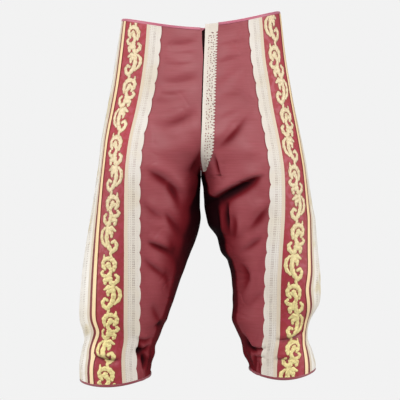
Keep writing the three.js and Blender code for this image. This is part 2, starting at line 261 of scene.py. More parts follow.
@dataclass(frozen=True)
class Fold:
    """A crease that the cloth above it hangs over, seen square on from its face.

    The crease runs in a curve through three points (x, z), and across is its half width. The
    cloth swells above it by a share of its depth. The more it hangs, the steeper its lip.
    """

    start: Point
    middle: Point
    end: Point
    across: float
    depth: float
    ridge: float = 0.45
    hang: float = 0.5
    face: Face = Face.FRONT

    def lift(self, x: Array, z: Array) -> Array:
        """How far the fold moves the cloth outwards.

        Args:
            x: distances from the centre, in mm.
            z: heights, in mm.

        Returns:
            The move outwards at each place, in mm, below 0 in the trough.
        """
        a, m, b = (np.array(p, dtype=float) for p in (self.start, self.middle, self.end))
        control = 2 * m - (a + b) / 2
        u = np.linspace(0, 1, FOLD.line_points)[:, None]
        line = (1 - u) ** 2 * a + 2 * u * (1 - u) * control + u**2 * b
        reach = FOLD.reach * self.across
        low, high = line.min(0) - reach, line.max(0) + reach
        near = (x > low[0]) & (x < high[0]) & (z > low[1]) & (z < high[1])
        out = np.zeros(x.shape)
        out[near] = self._lift_near(line, x[near], z[near])
        return out

    def _lift_near(self, line: Array, x: Array, z: Array) -> Array:
        """How far the fold moves places near its crease.

        Args:
            line: points along the crease.
            x: distances from the centre, in mm.
            z: heights, in mm.

        Returns:
            The move outwards at each place, in mm.
        """
        chord = line[-1] - line[0]
        upright = abs(chord[0]) < FOLD.upright * abs(chord[1])
        over = math.copysign(1, chord[0]) if not upright else math.copysign(1, -chord[1])
        best = np.full(x.shape, math.inf)
        along = np.zeros(x.shape)
        aside = np.zeros(x.shape)
        for k in range(len(line) - 1):
            step = line[k + 1] - line[k]
            up = over * np.array([-step[1], step[0]])
            dx, dz = x - line[k][0], z - line[k][1]
            share = np.clip((dx * step[0] + dz * step[1]) / (step @ step), 0, 1)
            px, pz = dx - share * step[0], dz - share * step[1]
            distance = np.hypot(px, pz)
            nearer = distance < best
            best = np.where(nearer, distance, best)
            along = np.where(nearer, (k + share) / (len(line) - 1), along)
            aside = np.where(nearer, np.sign(px * up[0] + pz * up[1]) * distance, aside)
        fade = (1 - (2 * along - 1) ** 2).clip(0) ** FOLD.end_power
        above = aside / self.across
        lip, slope = 1.0 - FOLD.steeper * self.hang, 1.0 + FOLD.flatter * self.hang
        trough = np.exp(-(np.abs(above / np.where(above > 0, lip, slope)) ** FOLD.trough_power))
        crest = FOLD.crest - self.hang
        swell = np.where(above > crest, FOLD.swell_above, FOLD.swell - FOLD.steeper * self.hang)
        ridge = np.exp(-(((above - crest) / swell) ** 2))
        return self.depth * fade * (self.ridge * ridge - trough)


# Folds of the wearer's right side, then of the left, from the waist down, front before back.
RIGHT_FOLDS = (
    Fold((-76, -62), (-38, -59), (-2, -54), 7, 1.7),
    Fold((-70, -96), (-40, -99), (-8, -94), 5, 1.3),
    Fold((-66, -78), (-34, -77), (0, -73), 5, 1.0),
    Fold((-84, -130), (-42, -132), (0, -122), 10, 2.4),
    Fold((-88, -150), (-58, -156), (-20, -148), 6, 1.5),
    Fold((-96, -192), (-60, -190), (-26, -178), 7, 1.6),
    Fold((-102, -168), (-66, -174), (-30, -164), 10, 1.4),
    Fold((-98, -222), (-46, -207), (2, -186), 13, 4.2),
    Fold((4, -250), (-8, -284), (-24, -312), 8, 4.4),
    Fold((-112, -300), (-74, -321), (-28, -356), 11, 5.6),
    Fold((-66, -330), (-48, -352), (-42, -384), 10, 4.6),
    Fold((-74, -380), (-56, -404), (-30, -440), 8, 4.6),
    Fold((-116, -360), (-96, -382), (-70, -402), 9, 3.4),
    Fold((-108, -442), (-82, -452), (-50, -470), 7, 6.4),
    Fold((-64, -430), (-51, -466), (-42, -504), 8, 4.0),
    Fold((-116, -470), (-92, -493), (-62, -518), 8, 4.2),
    Fold((-72, -488), (-65, -518), (-60, -552), 6, 3.0),
    Fold((-96, -560), (-86, -588), (-72, -622), 8, 3.6),
    Fold((-130, -626), (-114, -637), (-92, -630), 6, 5.0),
    Fold((-130, -650), (-116, -655), (-97, -645), 6, 7.0),
    Fold((-124, -634), (-120, -652), (-123, -676), 5, 4.0),
    Fold((-111, -662), (-110, -680), (-112, -698), 4, 8.0),
    Fold((-128, -642), (-116, -662), (-108, -684), 8, 4.4),
    Fold((-101, -656), (-99, -680), (-103, -706), 5, 4.4),
    Fold((-76, -596), (-82, -606), (-94, -608), 6, 4.0),
    Fold((-212, -664), (-186, -671), (-156, -674), 5, 10.0),
    Fold((-30, -90), (-90, -104), (-150, -98), 14, 2.0, face=Face.BACK),
    Fold((-16, -200), (-60, -226), (-120, -234), 16, 3.4, face=Face.BACK),
    Fold((-40, -318), (-104, -338), (-176, -340), 14, 6.0, hang=0.8, face=Face.BACK),
    Fold((-60, -366), (-110, -396), (-156, -392), 12, 3.8, face=Face.BACK),
    Fold((-84, -464), (-130, -486), (-182, -480), 12, 4.2, face=Face.BACK),
    Fold((-100, -552), (-150, -572), (-204, -566), 11, 3.6, face=Face.BACK),
    Fold((-110, -630), (-160, -646), (-208, -638), 8, 3.4, face=Face.BACK),
)

LEFT_FOLDS = (
    Fold((34, -62), (62, -56), (92, -52), 5, 1.4),
    Fold((34, -98), (62, -86), (96, -78), 6, 1.6),
    Fold((36, -140), (58, -120), (84, -102), 10, 1.8),
    Fold((34, -206), (64, -192), (94, -176), 7, 1.8),
    Fold((36, -162), (60, -160), (84, -154), 8, 1.3),
    Fold((26, -268), (60, -234), (100, -186), 12, 5.4),
    Fold((24, -270), (32, -296), (38, -320), 4, 6.0),
    Fold((2, -374), (58, -341), (124, -313), 11, 13.0, 0.36, hang=1.0),
    Fold((66, -332), (96, -319), (126, -314), 7, 2.4, 0.4, hang=0.9),
    Fold((30, -372), (31, -404), (38, -440), 7, 7.0, 0.5, hang=0.2),
    Fold((50, -362), (50, -394), (55, -434), 4.5, 9.5, 0.3, hang=0.2),
    Fold((62, -386), (66, -412), (62, -446), 6, 4.6, hang=0.2),
    Fold((134, -368), (112, -396), (86, -428), 11, 5.2),
    Fold((122, -432), (102, -446), (74, -468), 8, 3.8),
    Fold((68, -480), (90, -508), (74, -552), 8, 4.6),
    Fold((124, -540), (108, -552), (86, -580), 9, 2.4),
    Fold((80, -622), (93, -644), (112, -664), 6, 6.5),
    Fold((88, -638), (100, -652), (112, -648), 5, 5.0),
    Fold((104, -650), (117, -653), (131, -648), 4, 4.4),
    Fold((100, -672), (114, -669), (128, -672), 4, 3.4),
    Fold((104, -662), (107, -684), (105, -708), 4, 5.4),
    Fold((113, -670), (115, -690), (113, -710), 4, 4.0),
    Fold((94, -654), (96, -676), (98, -700), 4, 3.4),
    Fold((142, -634), (172, -632), (206, -618), 6, 6.5),
    Fold((144, -668), (160, -673), (186, -669), 5, 5.5),
    Fold((30, -94), (90, -108), (150, -96), 14, 2.0, face=Face.BACK),
    Fold((16, -204), (64, -230), (124, -232), 16, 3.4, face=Face.BACK),
    Fold((42, -314), (106, -334), (178, -334), 14, 6.0, hang=0.8, face=Face.BACK),
    Fold((60, -374), (112, -402), (158, -394), 12, 3.8, face=Face.BACK),
    Fold((88, -456), (134, -478), (186, -470), 12, 4.2, face=Face.BACK),
    Fold((94, -546), (144, -566), (196, -558), 11, 3.6, face=Face.BACK),
    Fold((106, -624), (152, -640), (196, -632), 8, 3.4, face=Face.BACK),
)


# Painted shade down the inside of each thigh, where the legs shade each other: height, width
# of the darkest part from the inseam, its share, and the share of the wider deep red.
RIGHT_THIGH_SHADE = (
    (-240, 4, 0.0, 0.0),
    (-292, 5, 0.0, 0.32),
    (-314, 7, 0.95, 0.4),
    (-350, 9, 0.9, 0.42),
    (-374, 24, 0.8, 0.44),
    (-430, 32, 0.62, 0.42),
    (-480, 24, 0.52, 0.36),
    (-540, 13, 0.5, 0.16),
    (-730, 10, 0.25, 0.12),
)

LEFT_THIGH_SHADE = (
    (-240, 4, 0.0, 0.0),
    (-296, 5, 0.0, 0.05),
    (-314, 9, 0.95, 0.1),
    (-346, 14, 0.95, 0.12),
    (-368, 30, 0.95, 0.36),
    (-400, 25, 0.95, 0.36),
    (-432, 17, 0.92, 0.32),
    (-470, 12, 0.85, 0.24),
    (-540, 9, 0.55, 0.16),
    (-730, 10, 0.25, 0.1),
)


@dataclass(frozen=True)
class Pull:
    """Where the trims are drawn forward round the leg: its row, reach and length in mm."""

    row: float
    reach: float
    length: float


RIGHT_PULLS = (Pull(-618, 18, 10.0), Pull(-668, 16, 3.0))

LEFT_PULLS = (Pull(-536, 24, 6.5), Pull(-590, 16, -3.0), Pull(-650, 20, 3.0))


@dataclass(frozen=True)
class Wave:
    """One wave of the cloth's unevenness: its turns for each metre across and down."""

    across: float
    down: float
    phase: float
    share: float


WAVES = (
    Wave(4.1, 17.3, 0.4, 0.30),
    Wave(-9.7, 13.1, 2.2, 0.26),
    Wave(13.9, 7.7, 4.1, 0.20),
    Wave(-3.3, 27.1, 1.1, 0.18),
    Wave(19.3, 19.9, 5.3, 0.12),
    Wave(-22.7, 11.3, 3.0, 0.10),
)

@dataclass(frozen=True)
class Gather:
    """Gathers round a leg opening: how many, their slant, share and share of the phase."""

    turns: float
    slant: float
    share: float
    phase: float


GATHERS = (Gather(15, 0.03, 1.15, 1), Gather(22, -0.05, 0.85, 2))


@dataclass(frozen=True)
class SatinHand:
    """How the satin rumples, gathers at its hems and is darkened by painted shade, in mm and shares of a
    row.
    """

    calm_seam: float = 0.04
    bare_edge: float = 0.02
    left_phase: float = 1.3
    back_phase: float = 2.1
    uneven: float = 1.7
    cockle: Point = (0.5, 0.9)
    cockle_depths: Point = (300, 560)
    cockle_scale: Point = (0.6, 0.7)
    cockle_share: Point = (-0.2, 0.5)
    cockle_width: float = 0.075
    gather: float = 1.7
    gather_depths: Point = (630, 690)
    broad: tuple[float, float, float, float] = (0.6, 9, 1.1, 0.06)
    hem_calm: float = 0.8
    hem_depths: Point = (704, 719)
    crease_depth: float = 6.4
    crease_shade: float = 0.94
    lower_shade: float = 0.15
    lower_depths: Point = (200, 460)
    inside_core: Point = (0.62, 1.1)
    inside_reach: float = 46
    behind_pale: float = 0.35
    behind_depths: Point = (-10, 50)


HAND = SatinHand()


# ---- the form of the cloth


def smooth_step(x: Array, low: float, high: float) -> Array:
    """An even rise from 0 at low to 1 at high."""
    u = np.clip((x - low) / (high - low), 0, 1)
    return u * u * (3 - 2 * u)


def smoother_step(x: Array, low: float, high: float) -> Array:
    """A rise from 0 at low to 1 at high with softer ends."""
    u = np.clip((x - low) / (high - low), 0, 1)
    return u**3 * (u * (u * 6 - 15) + 10)


def rows_up(step: float) -> Array:
    """Even rows from the hem up to the waist."""
    return np.arange(HEIGHTS.hem, step / 2, step)


def over_columns(rows: Array, columns: int) -> Array:
    """Each row's height repeated over a number of columns."""
    return np.repeat(rows[:, None], columns, axis=1)


@dataclass
class HalfForm:
    """One side of the garment as a surface over its rows and places round them.

    A place t runs from 0 at the centre front or inseam, by the outside at a half, to 1 at the
    centre back or inseam.
    """

    side: Side
    sections: tuple[tuple[float, ...], ...]
    waist: WaistEdge
    hem: HemEdge
    slit: float
    folds: tuple[Fold, ...]
    inside: tuple[tuple[float, ...], ...]
    pulls: tuple[Pull, ...]
    t_step: float = 0.003
    row_step: float = 1.5
    arc_steps: int = 240
    crotch_rounding: float = 0.16
    rounding_reach: float = 0.1
    blend_reach: float = 0.25
    fullness: float = 0.8
    span_step: float = 6.0
    span_margin: float = 4.0
    pulled_from: float = 34.0
    pulled_to: float = 64.0
    satin_span: dict[str, Array] = field(init=False)

    def __post_init__(self) -> None:
        """Sorts the sections upwards, and finds where each row's trims start and end."""
        rows = np.array(self.sections, dtype=float)[::-1]
        self.z = rows[:, 0]
        self.values = {name: rows[:, i] for i, name in enumerate(SECTION_COLUMNS)}
        self.slopes = {name: self._slopes(v) for name, v in self.values.items()}
        grid = rows_up(self.span_step)
        trim = self.trim_arc(grid)[:, None]
        start = self.place(grid, trim - STRIPS.front_lace - self.span_margin)
        end = self.place(grid, trim + (STRIPS.band + STRIPS.side_lace + self.span_margin))
        self.satin_span = {"rows": grid, "start": start[:, 0], "end": end[:, 0]}

    def _slopes(self, v: Array) -> Array:
        """Slopes of a column of the sections, from the rows on either side of each."""
        v, z = np.pad(v, 1, mode="edge"), np.pad(self.z, 1, mode="edge")
        return (v[2:] - v[:-2]) / (z[2:] - z[:-2])

    def column(self, name: str, z: Array) -> Array:
        """A column of the sections, by a smooth curve through its rows.

        Args:
            name: the column's name.
            z: heights in mm.

        Returns:
            The column's value at each height.
        """
        v, m = self.values[name], self.slopes[name]
        i = np.clip(np.searchsorted(self.z, z) - 1, 0, len(self.z) - 2)
        span = self.z[i + 1] - self.z[i]
        u = np.clip((z - self.z[i]) / span, 0, 1)
        return (
            v[i] * (1 + 2 * u) * (1 - u) ** 2
            + m[i] * span * u * (1 - u) ** 2
            + v[i + 1] * u * u * (3 - 2 * u)
            + m[i + 1] * span * u * u * (u - 1)
        )

    def height(self, row: Array, t: Array) -> Array:
        """Heights of places, where rows follow the slopes of the waist and hem edges.

        Args:
            row: their rows.
            t: the places.

        Returns:
            The height of each place, in mm.
        """
        centre = np.where(t < 0.5, self.waist.front, self.waist.back)
        rise = np.sin(np.pi * t).clip(0) ** HEIGHTS.waist_slope
        edge = centre + (self.waist.side - centre) * rise
        hem, around = self.hem, 2 * np.pi * t
        mean = (hem.inner + hem.front + hem.outer + hem.back) / 4
        second = (hem.inner + hem.outer - hem.front - hem.back) / 4
        opening = (
            mean
            + (hem.inner - hem.outer) / 2 * np.cos(around)
            + (hem.front - hem.back) / 2 * np.sin(around)
            + second * np.cos(2 * around)
        )
        near_waist = 1 - smooth_step(-row, 0, HEIGHTS.waist_fade)
        near_hem = 1 - smooth_step(row - HEIGHTS.hem, 0, HEIGHTS.hem_fade)
        return row + edge * near_waist + opening * near_hem

    def form(self, row: Array, t: Array) -> Array:
        """Points of the smooth form, without folds.

        Args:
            row: their rows.
            t: the places round them, of the same shape.

        Returns:
            Points in mm, with one more axis of x, y and z.
        """
        z = self.height(row, t)
        outer, front, back = (self.column(c, z) for c in ("outer", "front", "back"))
        inner = self.column("inner", z).clip(0)
        middle = (front + back) / 2
        low, high = HEIGHTS.crotch - HEIGHTS.leg_drop, HEIGHTS.crotch + HEIGHTS.leg_rise
        outside = 1 - smoother_step(z, low, high)
        from_edge = np.minimum(t, 1 - t)
        q = (z - HEIGHTS.crotch) / HEIGHTS.crotch_rise
        rounding = self.crotch_rounding * smooth_step(from_edge, 0, self.rounding_reach)
        q = np.clip((q + np.sqrt(q * q + rounding**2)) / 2, 0, 1)
        centre = 1 - np.sqrt(1 - (1 - q) ** 2)
        w = centre + (outside - centre) * smooth_step(from_edge, 0, self.blend_reach)
        fullness = 1 + outside * (1 - outside) * (1 - self.fullness * outside)
        depth = np.where(t < 0.5, front - middle, back - middle) * fullness
        angle = np.pi * t
        trunk_x, trunk_y = outer * np.sin(angle), middle + depth * np.abs(np.cos(angle))
        leg_x = (outer + inner) / 2 - (outer - inner) / 2 * np.cos(2 * angle)
        leg_y = middle + depth * np.abs(np.sin(2 * angle))
        x = np.maximum(WALLS.gap / 2, trunk_x * (1 - w) + leg_x * w)
        y = trunk_y * (1 - w) + leg_y * w
        return np.stack([self.side.value * x, y, z], axis=-1)

    def normal(self, surface: Callable[[Array, Array], Array], row: Array, t: Array) -> Array:
        """Outward normals of a surface.

        Args:
            surface: gives the surface's points from rows and places.
            row: their rows.
            t: the places.

        Returns:
            A unit vector for each place.
        """
        t0, t1 = np.clip(t - self.t_step, 0, 1), np.clip(t + self.t_step, 0, 1)
        along = surface(row, t1) - surface(row, t0)
        down = surface(row - self.row_step, t) - surface(row + self.row_step, t)
        n = np.cross(along, down) * -self.side.value
        return n / np.linalg.norm(n, axis=-1, keepdims=True).clip(1e-9)

    def relief(self, row: Array, t: Array, p: Array) -> Array:
        """How far folds, rumples and gathers move the form outwards.

        Args:
            row: their rows.
            t: the places.
            p: their points on the form.

        Returns:
            The move of each point, in mm.
        """
        x, z = p[..., 0], p[..., 2]
        out = np.zeros(x.shape)
        for fold in self.folds:
            out += np.where(self._on_face(fold, t), fold.lift(x, z), 0.0)
        from_seam = np.minimum(np.minimum(t, 1 - t), np.abs(t - 0.5))
        calm = np.clip(from_seam / HAND.calm_seam, 0, 1)
        return out * calm + self.rumple(row, t, x, z)

    def _on_face(self, fold: Fold, t: Array) -> Array:
        """Whether each place is on the face that a fold is on."""
        return (t < 0.5) == (fold.face is Face.FRONT)

    def shade(self, row: Array, t: Array) -> Array:
        """How much painted shade darkens the satin: in its deep creases, inside the thigh and lower
        down.

        Args:
            row: their rows.
            t: the places.

        Returns:
            A share from 0, not at all, to 1 for each place.
        """
        p = self.form(row, t)
        x, z = p[..., 0], p[..., 2]
        trough = np.zeros(x.shape)
        for fold in self.folds:
            trough += np.where(self._on_face(fold, t), (-fold.lift(x, z)).clip(0), 0.0)
        # painted shade: darker the deeper a fold's trough, and darker lower down the leg
        crease = 1 - np.exp(-((trough / HAND.crease_depth) ** 2))
        lower = HAND.lower_shade * smooth_step(-z, *HAND.lower_depths)
        return 1 - (1 - HAND.crease_shade * crease) * (1 - self._inside_leg(p)) * (1 - lower)

    def _inside_leg(self, p: Array) -> Array:
        """The painted shade on the inside of the thighs, weaker on the back.

        Args:
            p: points of the form.

        Returns:
            A share from 0 to 1 for each point.
        """
        x, y, z = p[..., 0], p[..., 1], p[..., 2]
        rows = np.array(self.inside)[::-1]
        core, dark, deep = (np.interp(z, rows[:, 0], rows[:, k]) for k in (1, 2, 3))
        aside = (np.abs(x) - self.column("inner", z).clip(0)).clip(0)
        full, none = HAND.inside_core
        near = dark * (1 - smooth_step(aside, full * core, none * core))
        wide = deep * (1 - smooth_step(aside, core, core + HAND.inside_reach))
        middle = (self.column("front", z) + self.column("back", z)) / 2
        behind = 1 - HAND.behind_pale * smooth_step(y - middle, *HAND.behind_depths)
        return behind * (1 - (1 - near) * (1 - wide))

    def rumple(self, row: Array, t: Array, x: Array, z: Array) -> Array:
        """The satin's small unevenness and its gathers at the hem, none under the trims.

        Args:
            row: their rows.
            t: the places.
            x: their distances from the centre, in mm.
            z: their heights, in mm.

        Returns:
            The move outwards at each place, in mm.
        """
        span = self.satin_span
        start = np.interp(row, span["rows"], span["start"])
        end = np.interp(row, span["rows"], span["end"])
        edge = HAND.bare_edge
        bare = smooth_step(start - t, 0, edge) + smooth_step(t - end, 0, edge)
        seam = np.clip(np.minimum(t, 1 - t) / edge, 0, 1)
        phase = HAND.left_phase if self.side is Side.LEFT else 0.0
        phase = phase + np.where(t < 0.5, 0.0, HAND.back_phase)
        uneven = self._uneven(x, z, phase)
        lower = smooth_step(-z, *HAND.cockle_depths)
        along, aside = HAND.cockle_scale
        cockled = self._uneven(along * z, aside * x, 2 * phase + 1)
        cockled = smooth_step(cockled, *HAND.cockle_share)
        crease = np.exp(-((uneven / HAND.cockle_width) ** 2))
        least, more = HAND.cockle
        small = HAND.uneven * uneven - (least + more * lower) * cockled * crease
        return bare * seam * (small + self._gathers(row, t, phase))

    def _gathers(self, row: Array, t: Array, phase: Array) -> Array:
        """The gathers above a leg opening.

        Args:
            row: their rows.
            t: the places.
            phase: what sets this face and side apart.

        Returns:
            The move outwards at each place, in mm.
        """
        near = HAND.gather * smooth_step(-row, *HAND.gather_depths)
        near = near * (1 - HAND.hem_calm * smooth_step(-row, *HAND.hem_depths))
        around = 2 * np.pi * t
        total = 0.0
        for g in GATHERS:
            wave = np.sin(g.turns * around + g.slant * row + g.phase * phase)
            total = total + g.share * wave
        share, turns, bend, slant = HAND.broad
        broad = share * np.sin(turns * around + bend * np.sin(slant * row))
        return (total + broad) * near

    def _uneven(self, x: Array, z: Array, phase: Array) -> Array:
        """Smooth unevenness, different for each face and side.

        Args:
            x: distances from the centre, in mm.
            z: heights, in mm.
            phase: what sets this face and side apart.

        Returns:
            A number from about -1 to 1 for each place.
        """
        total = np.zeros(x.shape)
        for k, wave in enumerate(WAVES):
            turn = 2 * np.pi * MM * (wave.across * x + wave.down * z)
            total += wave.share * np.sin(turn + wave.phase + (1 + 0.6 * k) * phase)
        return total

    def cloth(self, row: Array, t: Array) -> Array:
        """Points of the satin's outer face, with its folds, in mm."""
        p = self.form(row, t)
        return p + self.normal(self.form, row, t) * self.relief(row, t, p)[..., None]

    def layer(self, row: Array, t: Array, out: Array) -> Array:
        """Points that stand out from the satin's face by given distances, or in if negative."""
        n = self.normal(self.cloth, row, t)
        return self.cloth(row, t) + n * np.asarray(out)[..., None]

    def measure(self, rows: Array) -> tuple[Array, Array]:
        """Lengths round rows, from the centre front or inseam.

        Args:
            rows: the rows.

        Returns:
            Lengths to even steps of t, one line for each row, and the length on each row to
            where its front lace meets its band.
        """
        t = np.linspace(0, 1, self.arc_steps + 1)
        p = self.form(rows[:, None] + 0 * t, t + 0 * rows[:, None])
        steps = np.linalg.norm(np.diff(p, axis=1), axis=2)
        lengths = np.concatenate([np.zeros((len(rows), 1)), steps.cumsum(1)], axis=1)
        half = self.arc_steps // 2
        past = np.abs(p[:, : half + 1, 0]) - self.column("trim", p[:, : half + 1, 2])
        first = np.argmax((past[:, :-1] < 0) & (past[:, 1:] >= 0), axis=1)
        line = np.arange(len(rows))
        before, after = past[line, first], past[line, first + 1]
        trim = lengths[line, first] + steps[line, first] * before / (before - after)
        return lengths, trim

    def trim_arc(self, rows: Array) -> Array:
        """Length round each row to where its front lace meets its band."""
        return self.measure(rows)[1]

    def total_arc(self, rows: Array) -> Array:
        """Whole length round each row."""
        return self.measure(rows)[0][:, -1]

    def place(self, rows: Array, arcs: Array) -> Array:
        """Places at given lengths along rows.

        Args:
            rows: the rows.
            arcs: the lengths, one line for each row.

        Returns:
            The place t of each length.
        """
        lengths, _ = self.measure(rows)
        t = np.linspace(0, 1, self.arc_steps + 1)
        return np.stack([np.interp(a, line, t) for a, line in zip(arcs, lengths)])

    def drawn(self, rows: Array, lengths: Array) -> Array:
        """How far the trims' outer parts are drawn round the leg.

        Args:
            rows: the rows.
            lengths: the lengths past the lace's edge, one line for each row.

        Returns:
            What to add to each length.
        """
        pull = np.zeros(len(rows))
        for p in self.pulls:
            pull += p.length * np.exp(-(((rows - p.row) / p.reach) ** 2))
        return -pull[:, None] * smooth_step(lengths, self.pulled_from, self.pulled_to)

    def slit_edge(self, rows: Array) -> Array:
        """Half the width of the slit on this side at each row."""
        return WALLS.gap / 2 + self.slit * np.clip(1 - rows / FLY.bottom, 0, 1)

    def strip(self, rows: Array, arcs: Array, out: float) -> Array:
        """Points of a layer over rows and lengths along them, which stands out evenly."""
        row = over_columns(rows, arcs.shape[1])
        return self.layer(row, self.place(rows, arcs), np.full(row.shape, out))


def build_forms() -> dict[Side, HalfForm]:
    """Both sides of the garment, with their own edges and folds.

    Returns:
        The form of each side.
    """
    right = HalfForm(
        side=Side.RIGHT,
        sections=RIGHT_SECTIONS,
        waist=WaistEdge(front=-27, side=0, back=-6),
        hem=HemEdge(inner=12, front=-5, outer=0, back=2),
        slit=1.0,
        folds=RIGHT_FOLDS,
        inside=RIGHT_THIGH_SHADE,
        pulls=RIGHT_PULLS,
    )
    left = HalfForm(
        side=Side.LEFT,
        sections=LEFT_SECTIONS,
        waist=WaistEdge(front=-20, side=15, back=-6),
        hem=HemEdge(inner=22, front=8, outer=22, back=12),
        slit=8.0,
        folds=LEFT_FOLDS,
        inside=LEFT_THIGH_SHADE,
        pulls=LEFT_PULLS,
    )
    return {Side.RIGHT: right, Side.LEFT: left}


# ---- meshes


def deselect() -> None:
    """Leaves nothing selected, so that an operator acts on its own piece only."""
    for o in bpy.context.selected_objects:
        o.select_set(False)


def only(obj: Piece) -> None:
    """Makes a piece the one selected and active object.

    Args:
        obj: the piece.
    """
    deselect()
    obj.select_set(True)
    bpy.context.view_layer.objects.active = obj


def edit_all(obj: Piece, operator: Callable[..., set[str]], **settings: object) -> None:
    """Runs a mesh operator on the whole of a piece in edit mode.

    Args:
        obj: the piece.
        operator: the operator.
        **settings: what the operator is given.
    """
    only(obj)
    bpy.ops.object.mode_set(mode="EDIT")
    bpy.ops.mesh.select_all(action="SELECT")
    operator(**settings)
    bpy.ops.object.mode_set(mode="OBJECT")


def grid_piece(name: str, points: Array, uv: Array) -> Piece:
    """A sheet from a grid primitive whose corners are moved to given points.

    Args:
        name: the piece's name.
        points: the points in mm, as lines of points.
        uv: a place on the cloth for each point, in metres.

    Returns:
        The new sheet, with no thickness yet.
    """
    lines, columns = points.shape[:2]
    deselect()
    bpy.ops.mesh.primitive_grid_add(x_subdivisions=columns - 1, y_subdivisions=lines - 1, size=1)
    obj = bpy.context.object
    obj.name = name
    obj.data.name = name
    mesh = obj.data
    mesh.vertices.foreach_set("co", (points.reshape(-1, 3) * MM).ravel())
    corners = np.empty(len(mesh.loops), dtype=np.int32)
    mesh.loops.foreach_get("vertex_index", corners)
    mesh.uv_layers.active.data.foreach_set("uv", uv.reshape(-1, 2)[corners].ravel())
    mesh.update()
    return obj


def paint(obj: Piece, values: Array) -> None:
    """Stores the painted shade at each of a piece's corners."""
    layer = obj.data.attributes.new(SHADE, "FLOAT", "POINT")
    layer.data.foreach_set("value", values.ravel())


def thicken(obj: Piece, wall: float, offset: float) -> None:
    """Gives a sheet its wall.

    Args:
        obj: the sheet.
        wall: the wall in mm.
        offset: -1 keeps the sheet's face, and 0 leaves it in the middle of the wall.
    """
    only(obj)
    bpy.ops.object.modifier_add(type="SOLIDIFY")
    solid = obj.modifiers[-1]
    solid.thickness = wall * MM
    solid.offset = offset
    solid.use_even_offset = False
    bpy.ops.object.modifier_apply(modifier=solid.name)


def face_outwards(obj: Piece, points: Array, out: Array) -> None:
    """Turns a sheet's faces over where they look inwards.

    Args:
        obj: the sheet.
        points: its points, as lines of points.
        out: a direction out of the sheet's middle.
    """
    lines, columns = points.shape[:2]
    i, j = lines // 2, columns // 2
    after = min(j + 1, columns - 1)
    down = points[i + 1, j] - points[i, j]
    if np.cross(points[i, after] - points[i, after - 1], down) @ out < 0:
        edit_all(obj, bpy.ops.mesh.flip_normals)


def weld(obj: Piece, within: float = 0.02) -> None:
    """Joins corners of a piece that lie within a distance in mm of each other."""
    edit_all(obj, bpy.ops.mesh.remove_doubles, threshold=within * MM)


def shade_smooth(obj: Piece, degrees: float = 50.0) -> None:
    """Shades a piece smoothly, with its edges kept where they turn more than an angle."""
    only(obj)
    bpy.ops.object.shade_smooth_by_angle(angle=math.radians(degrees))


def dress(obj: Piece, material: Material) -> None:
    """Gives a piece its one finish."""
    obj.data.materials.clear()
    obj.data.materials.append(material)


# ---- node helpers


def linear(*display: float) -> Colour:
    """A colour as the shader's own numbers.

    Args:
        *display: its red, green and blue from 0 to 255.

    Returns:
        The colour with full opacity.
    """
    values = []
    for v in display:
        v /= 255
        values.append(v / 12.92 if v <= 0.04045 else ((v + 0.055) / 1.055) ** 2.4)
    return (*values, 1.0)


def tones(*displays: tuple[int, int, int]) -> list[Colour]:
    """Several colours as the shader's own numbers."""
    return [linear(*display) for display in displays]


@dataclass
class Nodes:
    """A material's or group's node tree, with short ways to add to it."""

    tree: Tree

    def add(self, kind: str, **settings: object) -> Node:
        """Adds a node.

        Args:
            kind: the node's type.
            **settings: the node's own properties by name.

        Returns:
            The node.
        """
        node = self.tree.nodes.new(kind)
        for name, value in settings.items():
            setattr(node, name, value)
        return node

    def feed(self, node: Node, inputs: dict[str | int, object]) -> Node:
        """Sets inputs to numbers or colours, or joins them to outputs.

        Args:
            node: the node.
            inputs: the number, colour or output for each input, by its name or place.

        Returns:
            The node.
        """
        for socket, value in inputs.items():
            if isinstance(value, Socket):
                self.tree.links.new(value, node.inputs[socket])
            else:
                node.inputs[socket].default_value = value
        return node

    def parts(self, vector: Socket) -> tuple[Socket, ...]:
        """A vector's x, y and z."""
        return tuple(self.feed(self.add("ShaderNodeSeparateXYZ"), {0: vector}).outputs)

    def math(self, operation: str, *values: object, clamp: bool = False) -> Socket:
        """A calculation on numbers or outputs, kept between 0 and 1 if clamped."""
        node = self.add("ShaderNodeMath", operation=operation, use_clamp=clamp)
        return self.feed(node, dict(enumerate(values))).outputs[0]

    def mix(self, share: object, a: object, b: object) -> Socket:
        """A mix of two colours, by the share of the second."""
        node = self.add("ShaderNodeMix", data_type="RGBA")
        return self.feed(node, {0: share, 6: a, 7: b}).outputs[2]

    def scaled(self, vector: Socket, x: float, y: float, z: float = 1.0) -> Socket:
        """A vector with its x, y and z scaled."""
        node = self.add("ShaderNodeMapping")
        return self.feed(node, {"Vector": vector, "Scale": (x, y, z)}).outputs[0]

    def noise(self, vector: Socket, scale: float, detail: float = 3.0) -> Socket:
        """Soft noise over a vector, by how fine it is and how many finer layers it has."""
        node = self.add("ShaderNodeTexNoise")
        return self.feed(node, {"Vector": vector, "Scale": scale, "Detail": detail}).outputs[0]

    def ramp(self, value: object, low: float, high: float) -> Socket:
        """A smooth rise, from 0 where a value is low to 1 where it is high."""
        node = self.add("ShaderNodeMapRange", interpolation_type="SMOOTHSTEP")
        return self.feed(node, {0: value, 1: low, 2: high}).outputs[0]


def new_group(
    name: str, inputs: dict[str, float | None], *outputs: str
) -> tuple[Tree, Nodes, Outputs, Node]:
    """An empty shader node group.

    Args:
        name: the group's name.
        inputs: the default of each number by name, or None for a vector.
        *outputs: the names of the numbers that it gives.

    Returns:
        The group, its nodes, what it is given by name, and its output node.
    """
    tree = bpy.data.node_groups.new(name, "ShaderNodeTree")
    for label, default in inputs.items():
        kind = "NodeSocketVector" if default is None else "NodeSocketFloat"
        socket = tree.interface.new_socket(label, in_out="INPUT", socket_type=kind)
        if default is not None:
            socket.default_value = default
    for label in outputs:
        tree.interface.new_socket(label, in_out="OUTPUT", socket_type="NodeSocketFloat")
    nodes = Nodes(tree)
    given = nodes.add("NodeGroupInput").outputs
    return tree, nodes, given, nodes.add("NodeGroupOutput")


